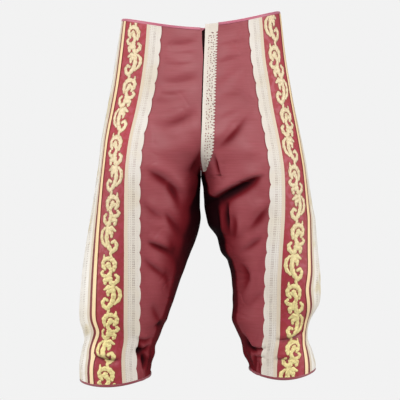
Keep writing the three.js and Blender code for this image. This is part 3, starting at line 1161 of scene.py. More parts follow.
def weave_group() -> Tree:
    """Crossing threads over a cloth's own places.

    Returns:
        A group that gives a height and a mask of the warp.
    """
    group, nodes, given, result = new_group(
        "crossing_threads",
        {"Place": None, "Across": 1200.0, "Along": 1200.0, "Uneven": 0.3},
        "Height",
        "Warp",
    )
    x, y, _ = nodes.parts(given["Place"])
    threads = []
    for part, count in ((x, "Across"), (y, "Along")):
        turn = nodes.math("MULTIPLY", part, given[count])
        turn = nodes.math("MULTIPLY", turn, 2 * math.pi)
        threads.append(nodes.math("MULTIPLY_ADD", nodes.math("SINE", turn), 0.5, 0.5))
    slub = nodes.noise(nodes.scaled(given["Place"], 60.0, 900.0), 1.0, 2.0)
    uneven = nodes.math("MULTIPLY", slub, given["Uneven"])
    height = nodes.math("ADD", nodes.math("MAXIMUM", *threads), uneven)
    nodes.feed(result, {"Height": height, "Warp": threads[0]})
    return group


def age_group() -> Tree:
    """Uneven ageing over a vector.

    Returns:
        A group that gives masks of a broad tone and of small stains.
    """
    group, nodes, given, result = new_group(
        "cloth_age", {"Place": None, "Amount": 1.0}, "Tone", "Stains"
    )
    broad = nodes.ramp(nodes.noise(given["Place"], 9.0, 4.0), 0.3, 0.75)
    small = nodes.ramp(nodes.noise(given["Place"], 55.0, 2.0), 0.66, 0.8)
    nodes.feed(result, {"Tone": nodes.math("MULTIPLY", broad, given["Amount"])})
    nodes.feed(result, {"Stains": nodes.math("MULTIPLY", small, given["Amount"])})
    return group


def ladder_group() -> Tree:
    """Rows of small holes, in groups, down one column of a lace.

    Returns:
        A group that gives 1 in a hole and 0 beside it.
    """
    group, nodes, given, result = new_group(
        "lace_ladder",
        {
            "Place": None,
            **{"Centre": 0.016, "Half Width": 0.003, "Across": 0.002, "Rung": 0.0034},
            **{"Open": 0.4, "Group": 0.033, "Filled": 0.6},
        },
        "Hole",
    )
    x, y, _ = nodes.parts(given["Place"])
    aside = nodes.math("SUBTRACT", x, given["Centre"])
    hole = nodes.math("LESS_THAN", nodes.math("ABSOLUTE", aside), given["Half Width"])
    steps = (
        (x, "Across", 0.55),
        (y, "Rung", given["Open"]),
        (y, "Group", given["Filled"]),
    )
    for along, pitch, share in steps:
        turn = nodes.math("FRACT", nodes.math("DIVIDE", along, given[pitch]))
        hole = nodes.math("MULTIPLY", hole, nodes.math("LESS_THAN", turn, share))
    nodes.feed(result, {"Hole": hole})
    return group


def eyelet_group() -> Tree:
    """Uneven round eyelets between two lengths across a lace, in groups.

    Returns:
        A group that gives 1 in a hole and 0 beside it.
    """
    group, nodes, given, result = new_group(
        "lace_eyelets",
        {
            "Place": None,
            **{"From": 0.004, "To": 0.02, "Pitch": 0.0052, "Size": 0.23},
            **{"Group": 0.045, "Filled": 0.7},
        },
        "Hole",
    )
    x, y, _ = nodes.parts(given["Place"])
    cells = nodes.add("ShaderNodeVectorMath", operation="DIVIDE")
    nodes.feed(cells, {0: given["Place"], 1: given["Pitch"]})
    dots = nodes.add("ShaderNodeTexVoronoi", voronoi_dimensions="2D")
    nodes.feed(dots, {"Vector": cells.outputs[0], "Scale": 1.0, "Randomness": 0.75})
    hole = nodes.math("LESS_THAN", dots.outputs["Distance"], given["Size"])
    past = nodes.math("GREATER_THAN", x, given["From"])
    short = nodes.math("LESS_THAN", x, given["To"])
    turn = nodes.math("FRACT", nodes.math("DIVIDE", y, given["Group"]))
    grouped = nodes.math("LESS_THAN", turn, given["Filled"])
    for part in (past, short, grouped):
        hole = nodes.math("MULTIPLY", hole, part)
    nodes.feed(result, {"Hole": hole})
    return group


@dataclass(frozen=True)
class SharedEffects:
    """Node groups that more than one finish uses."""

    weave: Tree
    age: Tree
    ladder: Tree
    eyelets: Tree


def place_group(nodes: Nodes, tree: Tree, **values: object) -> Outputs:
    """Adds a group, with its inputs by name and _ for a space, and gives its outputs."""
    node = nodes.add("ShaderNodeGroup", node_tree=tree)
    return nodes.feed(node, {k.replace("_", " "): v for k, v in values.items()}).outputs


def new_material(name: str) -> tuple[Material, Nodes, Node]:
    """An empty material.

    Args:
        name: its name.

    Returns:
        The material, its nodes and its Principled shader.
    """
    material = bpy.data.materials.new(name)
    material.use_nodes = True
    return material, Nodes(material.node_tree), material.node_tree.nodes["Principled BSDF"]


def cloth_places(nodes: Nodes) -> Socket:
    """Places on the cloth, in metres, from the piece's own UV map."""
    return nodes.add("ShaderNodeTexCoord").outputs["UV"]


def object_places(nodes: Nodes) -> Socket:
    """Places in the garment, in metres."""
    return nodes.add("ShaderNodeTexCoord").outputs["Object"]


def piece_shade(nodes: Nodes) -> Socket:
    """The piece's painted shade, in its creases and inside the thighs, from its own attribute."""
    return nodes.add("ShaderNodeAttribute", attribute_name=SHADE).outputs["Fac"]


def with_crease_shade(nodes: Nodes, colour: object, dark: Colour, share: float) -> Socket:
    """A colour darkened by painted shade in the cloth's creases, by a share of the piece's own shade."""
    return nodes.mix(nodes.math("MULTIPLY", piece_shade(nodes), share), colour, dark)


def bump(nodes: Nodes, shader: Node, height: object, strength: float, depth: float) -> None:
    """Roughens a shader's surface.

    Args:
        nodes: the material's nodes.
        shader: its shader.
        height: the height over the surface.
        strength: the share of the effect.
        depth: what a height of 1 stands for, in metres.
    """
    node = nodes.add("ShaderNodeBump")
    nodes.feed(node, {"Strength": strength, "Distance": depth, "Height": height})
    nodes.feed(shader, {"Normal": node.outputs[0]})


# ---- finishes


@dataclass(frozen=True)
class SatinFinish:
    """Changeable satin: maroon, a mauve bloom where it turns to the light, and painted shade."""

    name: str
    base: Colour
    deep: Colour
    bloom: Colour
    shaded: Colour
    crease: Colour
    lustre: float = 0.9
    roughness: float = 0.66
    streaks: Point = (26.0, 420.0)
    shaded_by: Point = (0.0, 0.55)
    creased_by: Point = (0.42, 0.95)
    bare_until: Point = (-0.1, 0.5)

    def build(self, shared: SharedEffects) -> Material:
        """Makes the material.

        Args:
            shared: the node groups.

        Returns:
            The material.
        """
        material, nodes, shader = new_material(self.name)
        cloth, body = cloth_places(nodes), object_places(nodes)
        weave = place_group(nodes, shared.weave, Place=cloth, Across=2400.0, Along=1500.0)
        age = place_group(nodes, shared.age, Place=body, Amount=1.0)
        streak = nodes.noise(nodes.scaled(cloth, *self.streaks), 1.0, 3.0)
        tone = nodes.mix(nodes.ramp(streak, 0.3, 0.75), self.base, self.bloom)
        colour = nodes.mix(nodes.math("MULTIPLY", age["Tone"], 0.28), tone, self.deep)
        # painted shade: deep red where it is light, near black where it is strongest
        shade = piece_shade(nodes)
        colour = nodes.mix(nodes.ramp(shade, *self.shaded_by), colour, self.shaded)
        colour = nodes.mix(nodes.ramp(shade, *self.creased_by), colour, self.crease)
        nodes.feed(shader, {"Base Color": colour})
        nodes.feed(shader, {"Roughness": nodes.math("MULTIPLY_ADD", streak, 0.06, self.roughness)})
        # the coat is taken off where shade is painted, so the painted shade stays dark
        bare = nodes.math("SUBTRACT", 1.0, nodes.ramp(shade, *self.bare_until))
        nodes.feed(shader, {"Coat Weight": nodes.math("MULTIPLY", bare, self.lustre)})
        nodes.feed(shader, {"Coat Roughness": 0.64, "Coat IOR": 1.8, "IOR": 1.14})
        height = nodes.math("MULTIPLY_ADD", streak, 0.8, weave["Height"])
        bump(nodes, shader, height, 0.08, 0.0002)
        return material


@dataclass(frozen=True)
class LaceColumn:
    """A column of small holes: its centre and half width in metres, and how open it is."""

    centre: float
    half: float
    open: float = 0.42
    filled: float = 1.0


@dataclass(frozen=True)
class LaceFinish:
    """Cotton lace: a close edge, columns of small holes, and a paler scalloped edge."""

    name: str
    thread: Colour
    yellowed: Colour
    edge: Colour
    columns: tuple[LaceColumn, ...]
    eyelets: tuple[float, float] = (0.0, 0.0)
    group: float = 0.033
    plain_top: float = 0.0
    close_edge: float = 0.0065
    stain: Colour = linear(206, 186, 134)
    stained: float = 0.12
    eyelets_filled: float = 0.94
    threads: Point = (420.0, 295.0)
    patches: Point = (0.53, 0.64)
    edge_fade: float = 0.0015

    def build(self, shared: SharedEffects) -> Material:
        """Makes the material.

        Args:
            shared: the node groups.

        Returns:
            The material.
        """
        material, nodes, shader = new_material(self.name)
        cloth, body = cloth_places(nodes), object_places(nodes)
        aside, down, _ = nodes.parts(cloth)
        near, far = self.eyelets
        filled = self.eyelets_filled
        dots = place_group(nodes, shared.eyelets, Place=cloth, From=near, To=far, Filled=filled)
        holes = dots["Hole"]
        for column in self.columns:
            ladder = place_group(
                nodes,
                shared.ladder,
                Place=cloth,
                Centre=column.centre,
                Half_Width=column.half,
                Open=column.open,
                Group=self.group,
                Filled=column.filled,
            )
            holes = nodes.math("MAXIMUM", holes, ladder["Hole"])
        below = nodes.math("LESS_THAN", down, -self.plain_top)
        holes = nodes.math("MULTIPLY", holes, below)
        nodes.feed(shader, {"Alpha": nodes.math("SUBTRACT", 1.0, holes)})
        warp, weft = self.threads
        weave = place_group(nodes, shared.weave, Place=cloth, Across=warp, Along=weft)
        age = place_group(nodes, shared.age, Place=body, Amount=1.0)
        colour = nodes.mix(age["Tone"], self.thread, self.yellowed)
        patches = nodes.ramp(nodes.noise(body, 17.0), *self.patches)
        patches = nodes.math("MAXIMUM", patches, age["Stains"])
        stained = nodes.math("MULTIPLY", patches, self.stained)
        colour = nodes.mix(stained, colour, self.stain)
        inside = nodes.ramp(aside, self.close_edge, self.close_edge + self.edge_fade)
        colour = nodes.mix(nodes.math("SUBTRACT", 1.0, inside), colour, self.edge)
        # painted shade: darker where the weave is low between the threads, and in the creases
        dark = tuple(0.6 * c for c in self.thread[:3]) + (1.0,)
        thread = nodes.math("MULTIPLY", weave["Height"], 0.2)
        between = nodes.math("SUBTRACT", 0.22, thread)
        colour = with_crease_shade(nodes, nodes.mix(between, colour, dark), dark, 0.5)
        nodes.feed(shader, {"Base Color": colour, "Roughness": 0.85, "Specular IOR Level": 0.2})
        bump(nodes, shader, weave["Height"], 0.4, 0.0005)
        return material


@dataclass(frozen=True)
class BrocadeFinish:
    """Crimson brocade: a soft figure in its weave, and darker along its outer edge."""

    name: str
    ground: Colour
    figure: Colour
    edge: Colour
    deep: Colour
    edge_from: float
    edge_fade: float = 0.001
    figure_by: Point = (0.47, 0.55)
    sheen: float = 0.1
    sheen_tint: Colour = (1.0, 0.6, 0.68, 1.0)

    def build(self, shared: SharedEffects) -> Material:
        """Makes the material.

        Args:
            shared: the node groups.

        Returns:
            The material.
        """
        material, nodes, shader = new_material(self.name)
        cloth, body = cloth_places(nodes), object_places(nodes)
        weave = place_group(nodes, shared.weave, Place=cloth, Across=900.0, Along=700.0)
        age = place_group(nodes, shared.age, Place=body, Amount=1.0)
        figure = nodes.ramp(nodes.noise(cloth, 95.0, 2.0), *self.figure_by)
        colour = nodes.mix(figure, self.ground, self.figure)
        faded = nodes.math("MULTIPLY", age["Tone"], 0.25)
        colour = nodes.mix(faded, colour, self.edge)
        aside, _, _ = nodes.parts(cloth)
        fade = self.edge_fade
        outer = nodes.ramp(aside, self.edge_from - fade, self.edge_from + fade)
        # near-black painted shade in the creases
        colour = with_crease_shade(nodes, nodes.mix(outer, colour, self.edge), self.deep, 0.95)
        nodes.feed(shader, {"Base Color": colour})
        nodes.feed(shader, {"Roughness": nodes.math("MULTIPLY_ADD", figure, -0.12, 0.62)})
        nodes.feed(shader, {"Sheen Weight": self.sheen, "Sheen Tint": self.sheen_tint})
        height = nodes.math("MULTIPLY_ADD", figure, 1.2, weave["Height"])
        bump(nodes, shader, height, 0.2, 0.0003)
        return material


@dataclass(frozen=True)
class GoldThreadFinish:
    """Aged metallic thread, laid in fine slanting stitches."""

    name: str
    light: Colour
    yellow: Colour
    dull: Colour
    deep: Colour
    stitches: float
    metallic: float = 0.2
    yellow_depths: Point = (0.3, 0.6)
    worn_by: Point = (0.5, 0.72)

    def build(self, shared: SharedEffects) -> Material:
        """Makes the material.

        Args:
            shared: the node groups.

        Returns:
            The material.
        """
        material, nodes, shader = new_material(self.name)
        body = object_places(nodes)
        age = place_group(nodes, shared.age, Place=body, Amount=1.0)
        wave = nodes.add("ShaderNodeTexWave", wave_type="BANDS", bands_direction="DIAGONAL")
        nodes.feed(wave, {"Vector": body, "Scale": self.stitches, "Distortion": 1.5})
        _, _, height = nodes.parts(body)
        low = nodes.ramp(nodes.math("MULTIPLY", height, -1.0), *self.yellow_depths)
        thread = nodes.mix(low, self.light, self.yellow)
        worn = nodes.ramp(nodes.noise(body, 240.0), *self.worn_by)
        worn = nodes.math("MULTIPLY", worn, 0.5)
        share = nodes.math("MULTIPLY_ADD", wave.outputs["Fac"], 0.22, worn)
        share = nodes.math("MULTIPLY_ADD", age["Tone"], 0.12, share, clamp=True)
        # painted shade in the creases
        colour = with_crease_shade(nodes, nodes.mix(share, thread, self.dull), self.deep, 0.9)
        nodes.feed(shader, {"Base Color": colour, "Metallic": self.metallic, "Roughness": 0.5})
        bump(nodes, shader, wave.outputs["Fac"], 0.3, 0.0003)
        return material


@dataclass(frozen=True)
class BraidFinish:
    """Pale gold braid, plaited across, with a dark line along each edge."""

    name: str
    light: Colour
    dull: Colour
    edge: Colour
    width: float
    edge_width: float = 0.0006
    edge_fade: float = 0.0002
    plait: float = 0.0026

    def build(self, shared: SharedEffects) -> Material:
        """Makes the material.

        Args:
            shared: the node groups.

        Returns:
            The material.
        """
        material, nodes, shader = new_material(self.name)
        cloth, body = cloth_places(nodes), object_places(nodes)
        age = place_group(nodes, shared.age, Place=body, Amount=1.0)
        x, y, _ = nodes.parts(cloth)
        aside = nodes.math("ABSOLUTE", nodes.math("SUBTRACT", x, self.width / 2))
        slant = nodes.math("MULTIPLY_ADD", aside, 0.8, y)
        plait = nodes.math("SINE", nodes.math("MULTIPLY", slant, 2 * math.pi / self.plait))
        plait = nodes.math("MULTIPLY_ADD", plait, 0.5, 0.5)
        # painted shade: lighter on the raised plait, darker in its grooves
        tone = nodes.math("ADD", age["Tone"], 0.2)
        tone = nodes.math("MULTIPLY_ADD", plait, -0.3, tone)
        colour = nodes.mix(nodes.math("MULTIPLY", tone, 0.6, clamp=True), self.light, self.dull)
        start = self.width / 2 - self.edge_width
        edge = nodes.ramp(aside, start - self.edge_fade, start + self.edge_fade)
        nodes.feed(shader, {"Base Color": nodes.mix(edge, colour, self.edge), "Metallic": 0.1})
        nodes.feed(shader, {"Roughness": 0.6})
        bump(nodes, shader, plait, 0.4, 0.0004)
        return material


@dataclass(frozen=True)
class ClothFinish:
    """Plain woven cloth: a binding, or the gold's dark rim, partly outline and partly painted shadow."""

    name: str
    base: Colour
    shade: Colour
    roughness: float = 0.6
    sheen: float = 0.25

    def build(self, shared: SharedEffects) -> Material:
        """Makes the material.

        Args:
            shared: the node groups.

        Returns:
            The material.
        """
        material, nodes, shader = new_material(self.name)
        cloth, body = cloth_places(nodes), object_places(nodes)
        weave = place_group(nodes, shared.weave, Place=cloth, Across=900.0, Along=900.0)
        age = place_group(nodes, shared.age, Place=body, Amount=0.8)
        nodes.feed(shader, {"Base Color": nodes.mix(age["Tone"], self.base, self.shade)})
        nodes.feed(shader, {"Roughness": self.roughness, "Sheen Weight": self.sheen})
        bump(nodes, shader, weave["Height"], 0.2, 0.0003)
        return material


def build_finishes() -> dict[str, Material]:
    """All finishes.

    Returns:
        The materials by name.
    """
    shared = SharedEffects(weave_group(), age_group(), ladder_group(), eyelet_group())
    lace_columns = (
        LaceColumn(0.0085, 0.001, 0.3),
        LaceColumn(0.0125, 0.0007, 0.24),
        LaceColumn(0.0185, 0.0028, 0.26),
        LaceColumn(0.0185, 0.0028, 0.44, 0.5),
        LaceColumn(0.0255, 0.0007, 0.24),
    )
    side_columns = (
        LaceColumn(0.0085, 0.0012, 0.3),
        LaceColumn(0.0135, 0.0007, 0.24),
        LaceColumn(0.0215, 0.0036, 0.28),
        LaceColumn(0.0215, 0.0036, 0.46, 0.5),
        LaceColumn(0.0305, 0.0007, 0.24),
        LaceColumn(0.0365, 0.0028, 0.28, 0.6),
    )
    cream, yellowed, beige = linear(218, 211, 203), linear(208, 198, 184), linear(206, 190, 168)
    worn = linear(218, 209, 198)
    finishes = [
        SatinFinish(
            "maroon_satin",
            # the last two tones are painted shade: deep red and near black
            *tones((139, 44, 52), (113, 31, 38), (147, 53, 64), (96, 19, 26), (27, 4, 8)),
        ),
        # the underlap's satin, painted near black as the shade behind the slit
        SatinFinish(
            "shaded_satin",
            *tones((26, 8, 9), (16, 5, 6), (30, 10, 12), (16, 5, 6), (10, 2, 3)),
            0.0,
            0.8,
        ),
        LaceFinish("front_lace", cream, yellowed, beige, lace_columns),
        LaceFinish("fly_lace", worn, yellowed, worn, (), (0.0065, 0.0215), plain_top=0.017),
        LaceFinish(
            "side_lace",
            *tones((234, 229, 221), (222, 214, 198)),
            beige,
            side_columns,
            stained=0.55,
        ),
        BrocadeFinish(
            "crimson_brocade",
            *tones((152, 32, 42), (160, 38, 58), (116, 24, 30), (34, 6, 9)),
            0.0672,
        ),
        GoldThreadFinish(
            "gold_embroidery",
            *tones((222, 209, 174), (240, 229, 160), (172, 128, 78), (84, 58, 26)),
            900,
        ),
        BraidFinish(
            "gold_braid",
            *tones((230, 206, 164), (212, 182, 132), (120, 58, 44)),
            STRIPS.braid * MM,
        ),
        # the gold's dark rim: partly outline, partly painted shadow
        ClothFinish("gold_rim_shadow", linear(138, 56, 34), linear(104, 38, 28)),
        ClothFinish("pink_binding", linear(186, 100, 120), linear(160, 76, 98), 0.45),
        ClothFinish("hem_binding", linear(136, 52, 64), linear(104, 34, 44), 0.5),
    ]
    return {f.name: f.build(shared) for f in finishes}


# ---- the pieces


@dataclass
class Garment:
    """What every sub-assembly needs: the forms and the finishes."""

    forms: dict[Side, HalfForm]
    finishes: dict[str, Material]

    def finish_piece(self, obj: Piece, finish: str, slot: str, node: str | None) -> Piece:
        """Dresses a piece, and sets what it rides on and stands for.

        Args:
            obj: the piece.
            finish: the name of its finish.
            slot: the record's material slot; not used.
            node: the solid that it replaces, if any.

        Returns:
            The piece.
        """
        dress(obj, self.finishes[finish])
        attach(obj, BODY)
        if node is not None:
            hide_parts(node)
        log.info("%s: %d faces", obj.name, len(obj.data.polygons))
        return obj


def cloth_rows(top: float, bottom: float, step: float) -> Array:
    """Even rows, closer together round the crotch.

    Args:
        top: the first row.
        bottom: the last row.
        step: how far apart they are away from the crotch.

    Returns:
        The rows from the top down.
    """
    count = max(2, int(round((top - bottom) / step)))
    rows = np.linspace(top, bottom, count + 1)
    above, below = HEIGHTS.crotch + CLOSE_ROWS.above, HEIGHTS.crotch - CLOSE_ROWS.below
    close = np.arange(above, below, -CLOSE_ROWS.step)
    inside = close[(close < top) & (close > bottom)]
    kept = rows[(rows > above + 1) | (rows < below - 1)]
    return np.sort(np.concatenate([kept, inside]))[::-1]


@dataclass
class SatinPanels:
    """The front and back panel of each side.

    The right front panel's slit edge is drawn past the centre by lap, by lap_more further
    down over lap_depths, and stays lap_clear short of the left panel's edge.
    """

    garment: Garment
    row_step: float = 2.6
    front_columns: int = 116
    back_columns: int = 84
    closed: float = 0.04
    seam_reach: float = 1.4
    crotch: float = -300.0
    lap: float = 1.7
    lap_more: float = 2.6
    lap_depths: Point = (15, 80)
    lap_clear: float = 2.2
    inside: float = 110.0
    smooth_degrees: float = 60.0
    front_flat: Point = (0.34, 0.76)
    front_area: float = 0.185
    back_flat: Point = (0.36, 0.76)
    back_area: float = 0.21

    def build(self) -> list[Piece]:
        """Makes the four panels.

        Returns:
            The panels, each side's front before its back.
        """
        made = []
        for side, form in self.garment.forms.items():
            rows = cloth_rows(0.0, HEIGHTS.hem, self.row_step)
            trim, total = form.trim_arc(rows), form.total_arc(rows)
            seam = trim + STRIPS.side_seam
            start = form.slit_edge(rows) - WALLS.gap / 2 + self.closed
            front = np.linspace(start, seam - self.closed, self.front_columns, axis=1)
            back = np.linspace(seam + self.closed, total - self.closed, self.back_columns, axis=1)
            flats = (self.front_flat, self.back_flat)
            areas = (self.front_area, self.back_area)
            for face, arcs, flat, area in zip(Face, (front, back), flats, areas):
                obj = self._panel(side, face, rows, arcs)
                made.append(obj)
        return made

    def _panel(self, side: Side, face: Face, rows: Array, arcs: Array) -> Piece:
        """Makes one panel.

        Args:
            side: its side.
            face: whether it is the front or the back panel.
            rows: its rows.
            arcs: the lengths round each row.

        Returns:
            The panel.
        """
        form = self.garment.forms[side]
        points = form.strip(rows, arcs, 0.0)
        if side is Side.RIGHT and face is Face.FRONT:
            points[:, 0, 0] += self._past_centre(rows)
        row = over_columns(rows, arcs.shape[1])
        uv = np.stack([arcs * MM, row * MM], -1)
        obj = grid_piece(f"satin_{face.value}_{side.label}", points, uv)
        # painted shade of creases, inner thighs and lower legs
        paint(obj, form.shade(row, form.place(rows, arcs)))
        middle = points[len(rows) // 2, arcs.shape[1] // 2]
        face_outwards(obj, points, middle - (side.value * self.inside, 0.0, middle[2]))
        thicken(obj, WALLS.satin, -1)
        if face is Face.BACK:
            self._close_centre(obj, side)
        shade_smooth(obj, self.smooth_degrees)
        node = f"{face.value}_{side.label}"
        return self.garment.finish_piece(obj, "maroon_satin", "satin", node)

    def _close_centre(self, obj: Piece, side: Side) -> None:
        """Brings a back panel's edge square to the centre, as the sewn seam holds it.

        Args:
            obj: the panel.
            side: its side.
        """
        points = np.empty(3 * len(obj.data.vertices))
        obj.data.vertices.foreach_get("co", points)
        points = points.reshape(-1, 3)
        near = np.abs(points[:, 0]) < self.seam_reach * MM
        near &= points[:, 2] > self.crotch * MM
        points[near, 0] = side.value * self.closed / 2 * MM
        obj.data.vertices.foreach_set("co", points.ravel())
        obj.data.update()

    def _past_centre(self, rows: Array) -> Array:
        """How far the right panel's slit edge is drawn to the left.

        Args:
            rows: the rows.

        Returns:
            The move at each row, in mm.
        """
        left = self.garment.forms[Side.LEFT].slit_edge(rows)
        right = self.garment.forms[Side.RIGHT].slit_edge(rows)
        reach = self.lap + self.lap_more * smooth_step(-rows, *self.lap_depths)
        return np.clip(np.minimum(left - self.lap_clear, reach) + right, 0, None)


@dataclass
class Strip:
    """A strip of trim on the satin, from one length to another past the lace's edge."""

    start: float
    end: float
    columns: int
    row_step: float
    out: float
    wall: float
    inside: float = 130.0

    def build(
        self,
        form: HalfForm,
        name: str,
        edge: Callable[[Array], Array] | None = None,
        crown: Callable[[Array], Array] | None = None,
    ) -> Piece:
        """Makes the strip on one side.

        Args:
            form: the side's form.
            name: the piece's name.
            edge: how far the strip's far edge stands out beyond its end at each row.
            crown: how far the strip stands out across it, for shares from 0 to 1.

        Returns:
            The strip with its wall. Its UV map's first part runs from its near edge.
        """
        rows = cloth_rows(-HEIGHTS.trims, HEIGHTS.hem + HEIGHTS.trims, self.row_step)
        trim = form.trim_arc(rows)
        share = np.linspace(0, 1, self.columns)
        near, far = trim + self.start, trim + self.end
        if edge is not None:
            far = far + math.copysign(1, self.end - self.start) * edge(rows)
        arcs = near[:, None] + (far - near)[:, None] * share
        t = form.place(rows, arcs + form.drawn(rows, arcs - trim[:, None]))
        row = over_columns(rows, self.columns)
        lift = crown(share) if crown is not None else 0 * share
        points = form.layer(row, t, self.out + np.repeat(lift[None, :], len(rows), 0))
        uv = np.stack([np.abs(arcs - near[:, None]) * MM, row * MM], -1)
        obj = grid_piece(name, points, uv)
        # the satin's painted shade, carried over the trim
        paint(obj, form.shade(row, t))
        middle = points[len(rows) // 2, self.columns // 2]
        face_outwards(obj, points, middle - (form.side.value * self.inside, 0.0, middle[2]))
        thicken(obj, self.wall, -1)
        shade_smooth(obj)
        return obj


def scallops(period: float, depth: float, sharp: float = 0.6) -> Callable[[Array], Array]:
    """Rounded scallops along an edge.

    Args:
        period: the length of one, in mm.
        depth: how deep the notches between them are, in mm.
        sharp: above 1 for points, below 1 for rounded ends.

    Returns:
        What gives the edge's reach at rows: 0 at the tips and -depth in the notches.
    """

    def reach(rows: Array) -> Array:
        """The edge's reach at given rows."""
        return depth * (np.abs(np.sin(np.pi * rows / period)) ** sharp - 1)

    return reach


@dataclass(frozen=True)
class Trim:
    """A trim: its piece, node, finish and slot, where it lies, its width and what is under it."""

    piece: str
    node: str
    finish: str
    slot: str
    strip: Strip
    width: float
    rests_on: tuple[str, ...]
    scalloped: bool = False


@dataclass
class Trims:
    """The laces, bands and braids down the outside of each leg."""

    garment: Garment
    length: float = TRIM_CUT
    scallop: float = 33.0
    scallop_depth: float = 3.2
    lace_step: float = 2.0
    band_step: float = 3.2
    braid_dome: float = 0.9
    braid_wall: float = 0.8

    def build(self) -> list[Piece]:
        """Makes the trims of both sides.

        Returns:
            The trims, each side's from the front backwards.
        """
        lace, band, wall = self.lace_step, self.band_step, WALLS.trim
        out, front = WALLS.trim_face, ("satin_front",)
        braid, raised = STRIPS.braid_start, out + WALLS.gap + self.braid_wall
        fore = Strip(-WALLS.gap, -STRIPS.front_lace, 14, lace, out, wall)
        middle = Strip(0.0, STRIPS.band, 24, band, out, wall)
        plait = Strip(braid, braid + STRIPS.braid, 13, band, raised, self.braid_wall)
        start, end = STRIPS.band + WALLS.gap, STRIPS.band + STRIPS.side_lace
        aside = Strip(start, end, 18, lace, out, wall)
        both, band_under = ("satin_front", "satin_back"), ("brocade_band",)
        trims = (
            Trim("lace_front", "front_lace", "front_lace", "lace", fore, STRIPS.front_lace, front, True),
            Trim("brocade_band", "band", "crimson_brocade", "brocade", middle, STRIPS.band, ()),
            Trim("gold_braid", "braid", "gold_braid", "gold_braid", plait, STRIPS.braid, band_under),
            Trim("lace_side", "side_lace", "side_lace", "lace", aside, STRIPS.side_lace, both, True),
        )
        return [self._lay(trim, side) for side in self.garment.forms for trim in trims]

    def _dome(self, share: Array) -> Array:
        """Height of the braid across it."""
        return self.braid_dome * np.sqrt(np.abs(np.sin(np.pi * share)))

    def _lay(self, trim: Trim, side: Side) -> Piece:
        """Makes one trim.

        Args:
            trim: the trim.
            side: its side.

        Returns:
            The trim's piece.
        """
        edge = scallops(self.scallop, self.scallop_depth) if trim.scalloped else None
        crown = self._dome if trim.node == "braid" else None
        name = f"{trim.piece}_{side.label}"
        obj = trim.strip.build(self.garment.forms[side], name, edge, crown)
        self.garment.finish_piece(obj, trim.finish, trim.slot, f"{trim.node}_{side.label}")
        return obj


@dataclass
class FlyPieces:
    """The lace along the slit and the underlap behind it."""

    garment: Garment
    lace_rows: int = 480
    taper_power: float = 1.5
    picot: float = 6.2
    picot_depth: float = 4.4
    picot_sharp: float = 1.3
    plain: float = 16.0
    tip_shift: float = 9.0
    underlap_rows: int = 70
    underlap_top: float = 1.5
    underlap_gap: float = 0.5
    underlap_half: float = 12.5
    underlap_flat: Point = (0.034, 0.25)

    def build(self) -> list[Piece]:
        """Makes both pieces."""
        return [self._lace(), self._underlap()]

    def _lace(self) -> Piece:
        """The picot lace, which tapers to a tip below the slit.

        Returns:
            The lace.
        """
        form = self.garment.forms[Side.LEFT]
        rows = np.linspace(0, FLY.tip, self.lace_rows)
        taper = np.clip((FLY.bottom - rows) / (FLY.bottom - FLY.tip), 0, 1) ** self.taper_power
        width = FLY.lace + (FLY.tip_width - FLY.lace) * taper
        picots = scallops(self.picot, self.picot_depth, self.picot_sharp)(rows)
        width = width + picots * (1 - 0.5 * taper) * (rows < -self.plain)
        near = form.slit_edge(rows) + self.tip_shift * taper**2
        share = np.concatenate([np.linspace(0, 0.9, 10), [0.95, 1.0]])
        arcs = near[:, None] + width[:, None] * share
        points = form.strip(rows, arcs, WALLS.trim_face)
        uv = np.stack([(arcs - near[:, None]) * MM, over_columns(rows, len(share)) * MM], -1)
        obj = grid_piece("lace_fly", points, uv)
        self._finish(obj, points, WALLS.trim)
        self.garment.finish_piece(obj, "fly_lace", "lace", "fly_lace")
        return obj

    def _underlap(self) -> Piece:
        """The strip behind the slit, from one front panel to the other, in satin painted near black as
        shade.

        Returns:
            The underlap.
        """
        top = -HEIGHTS.binding - self.underlap_top
        rows = np.linspace(top, FLY.underlap_bottom, self.underlap_rows)
        halves = []
        for side in (Side.RIGHT, Side.LEFT):
            form = self.garment.forms[side]
            near = form.slit_edge(rows)
            arcs = np.linspace(near + self.underlap_half, near, 6, axis=1)
            halves.append(form.strip(rows, arcs, -WALLS.satin - self.underlap_gap))
        points = np.concatenate([halves[0], halves[1][:, ::-1]], axis=1)
        aside = np.linspace(0, self.underlap_flat[0], points.shape[1])
        row = over_columns(rows, points.shape[1]) * MM
        uv = np.stack([np.repeat(aside[None, :], len(rows), 0), row], -1)
        obj = grid_piece("satin_underlap", points, uv)
        self._finish(obj, points, WALLS.satin)
        self.garment.finish_piece(obj, "shaded_satin", "underlap", "fly_underlap")
        return obj

    def _finish(self, obj: Piece, points: Array, wall: float) -> None:
        """Turns a sheet at the fly to the front, and gives it its wall.

        Args:
            obj: the sheet.
            points: its points, as lines of points.
            wall: the wall in mm.
        """
        face_outwards(obj, points, np.array([0.0, -1.0, 0.0]))
        thicken(obj, wall, -1)
        shade_smooth(obj)


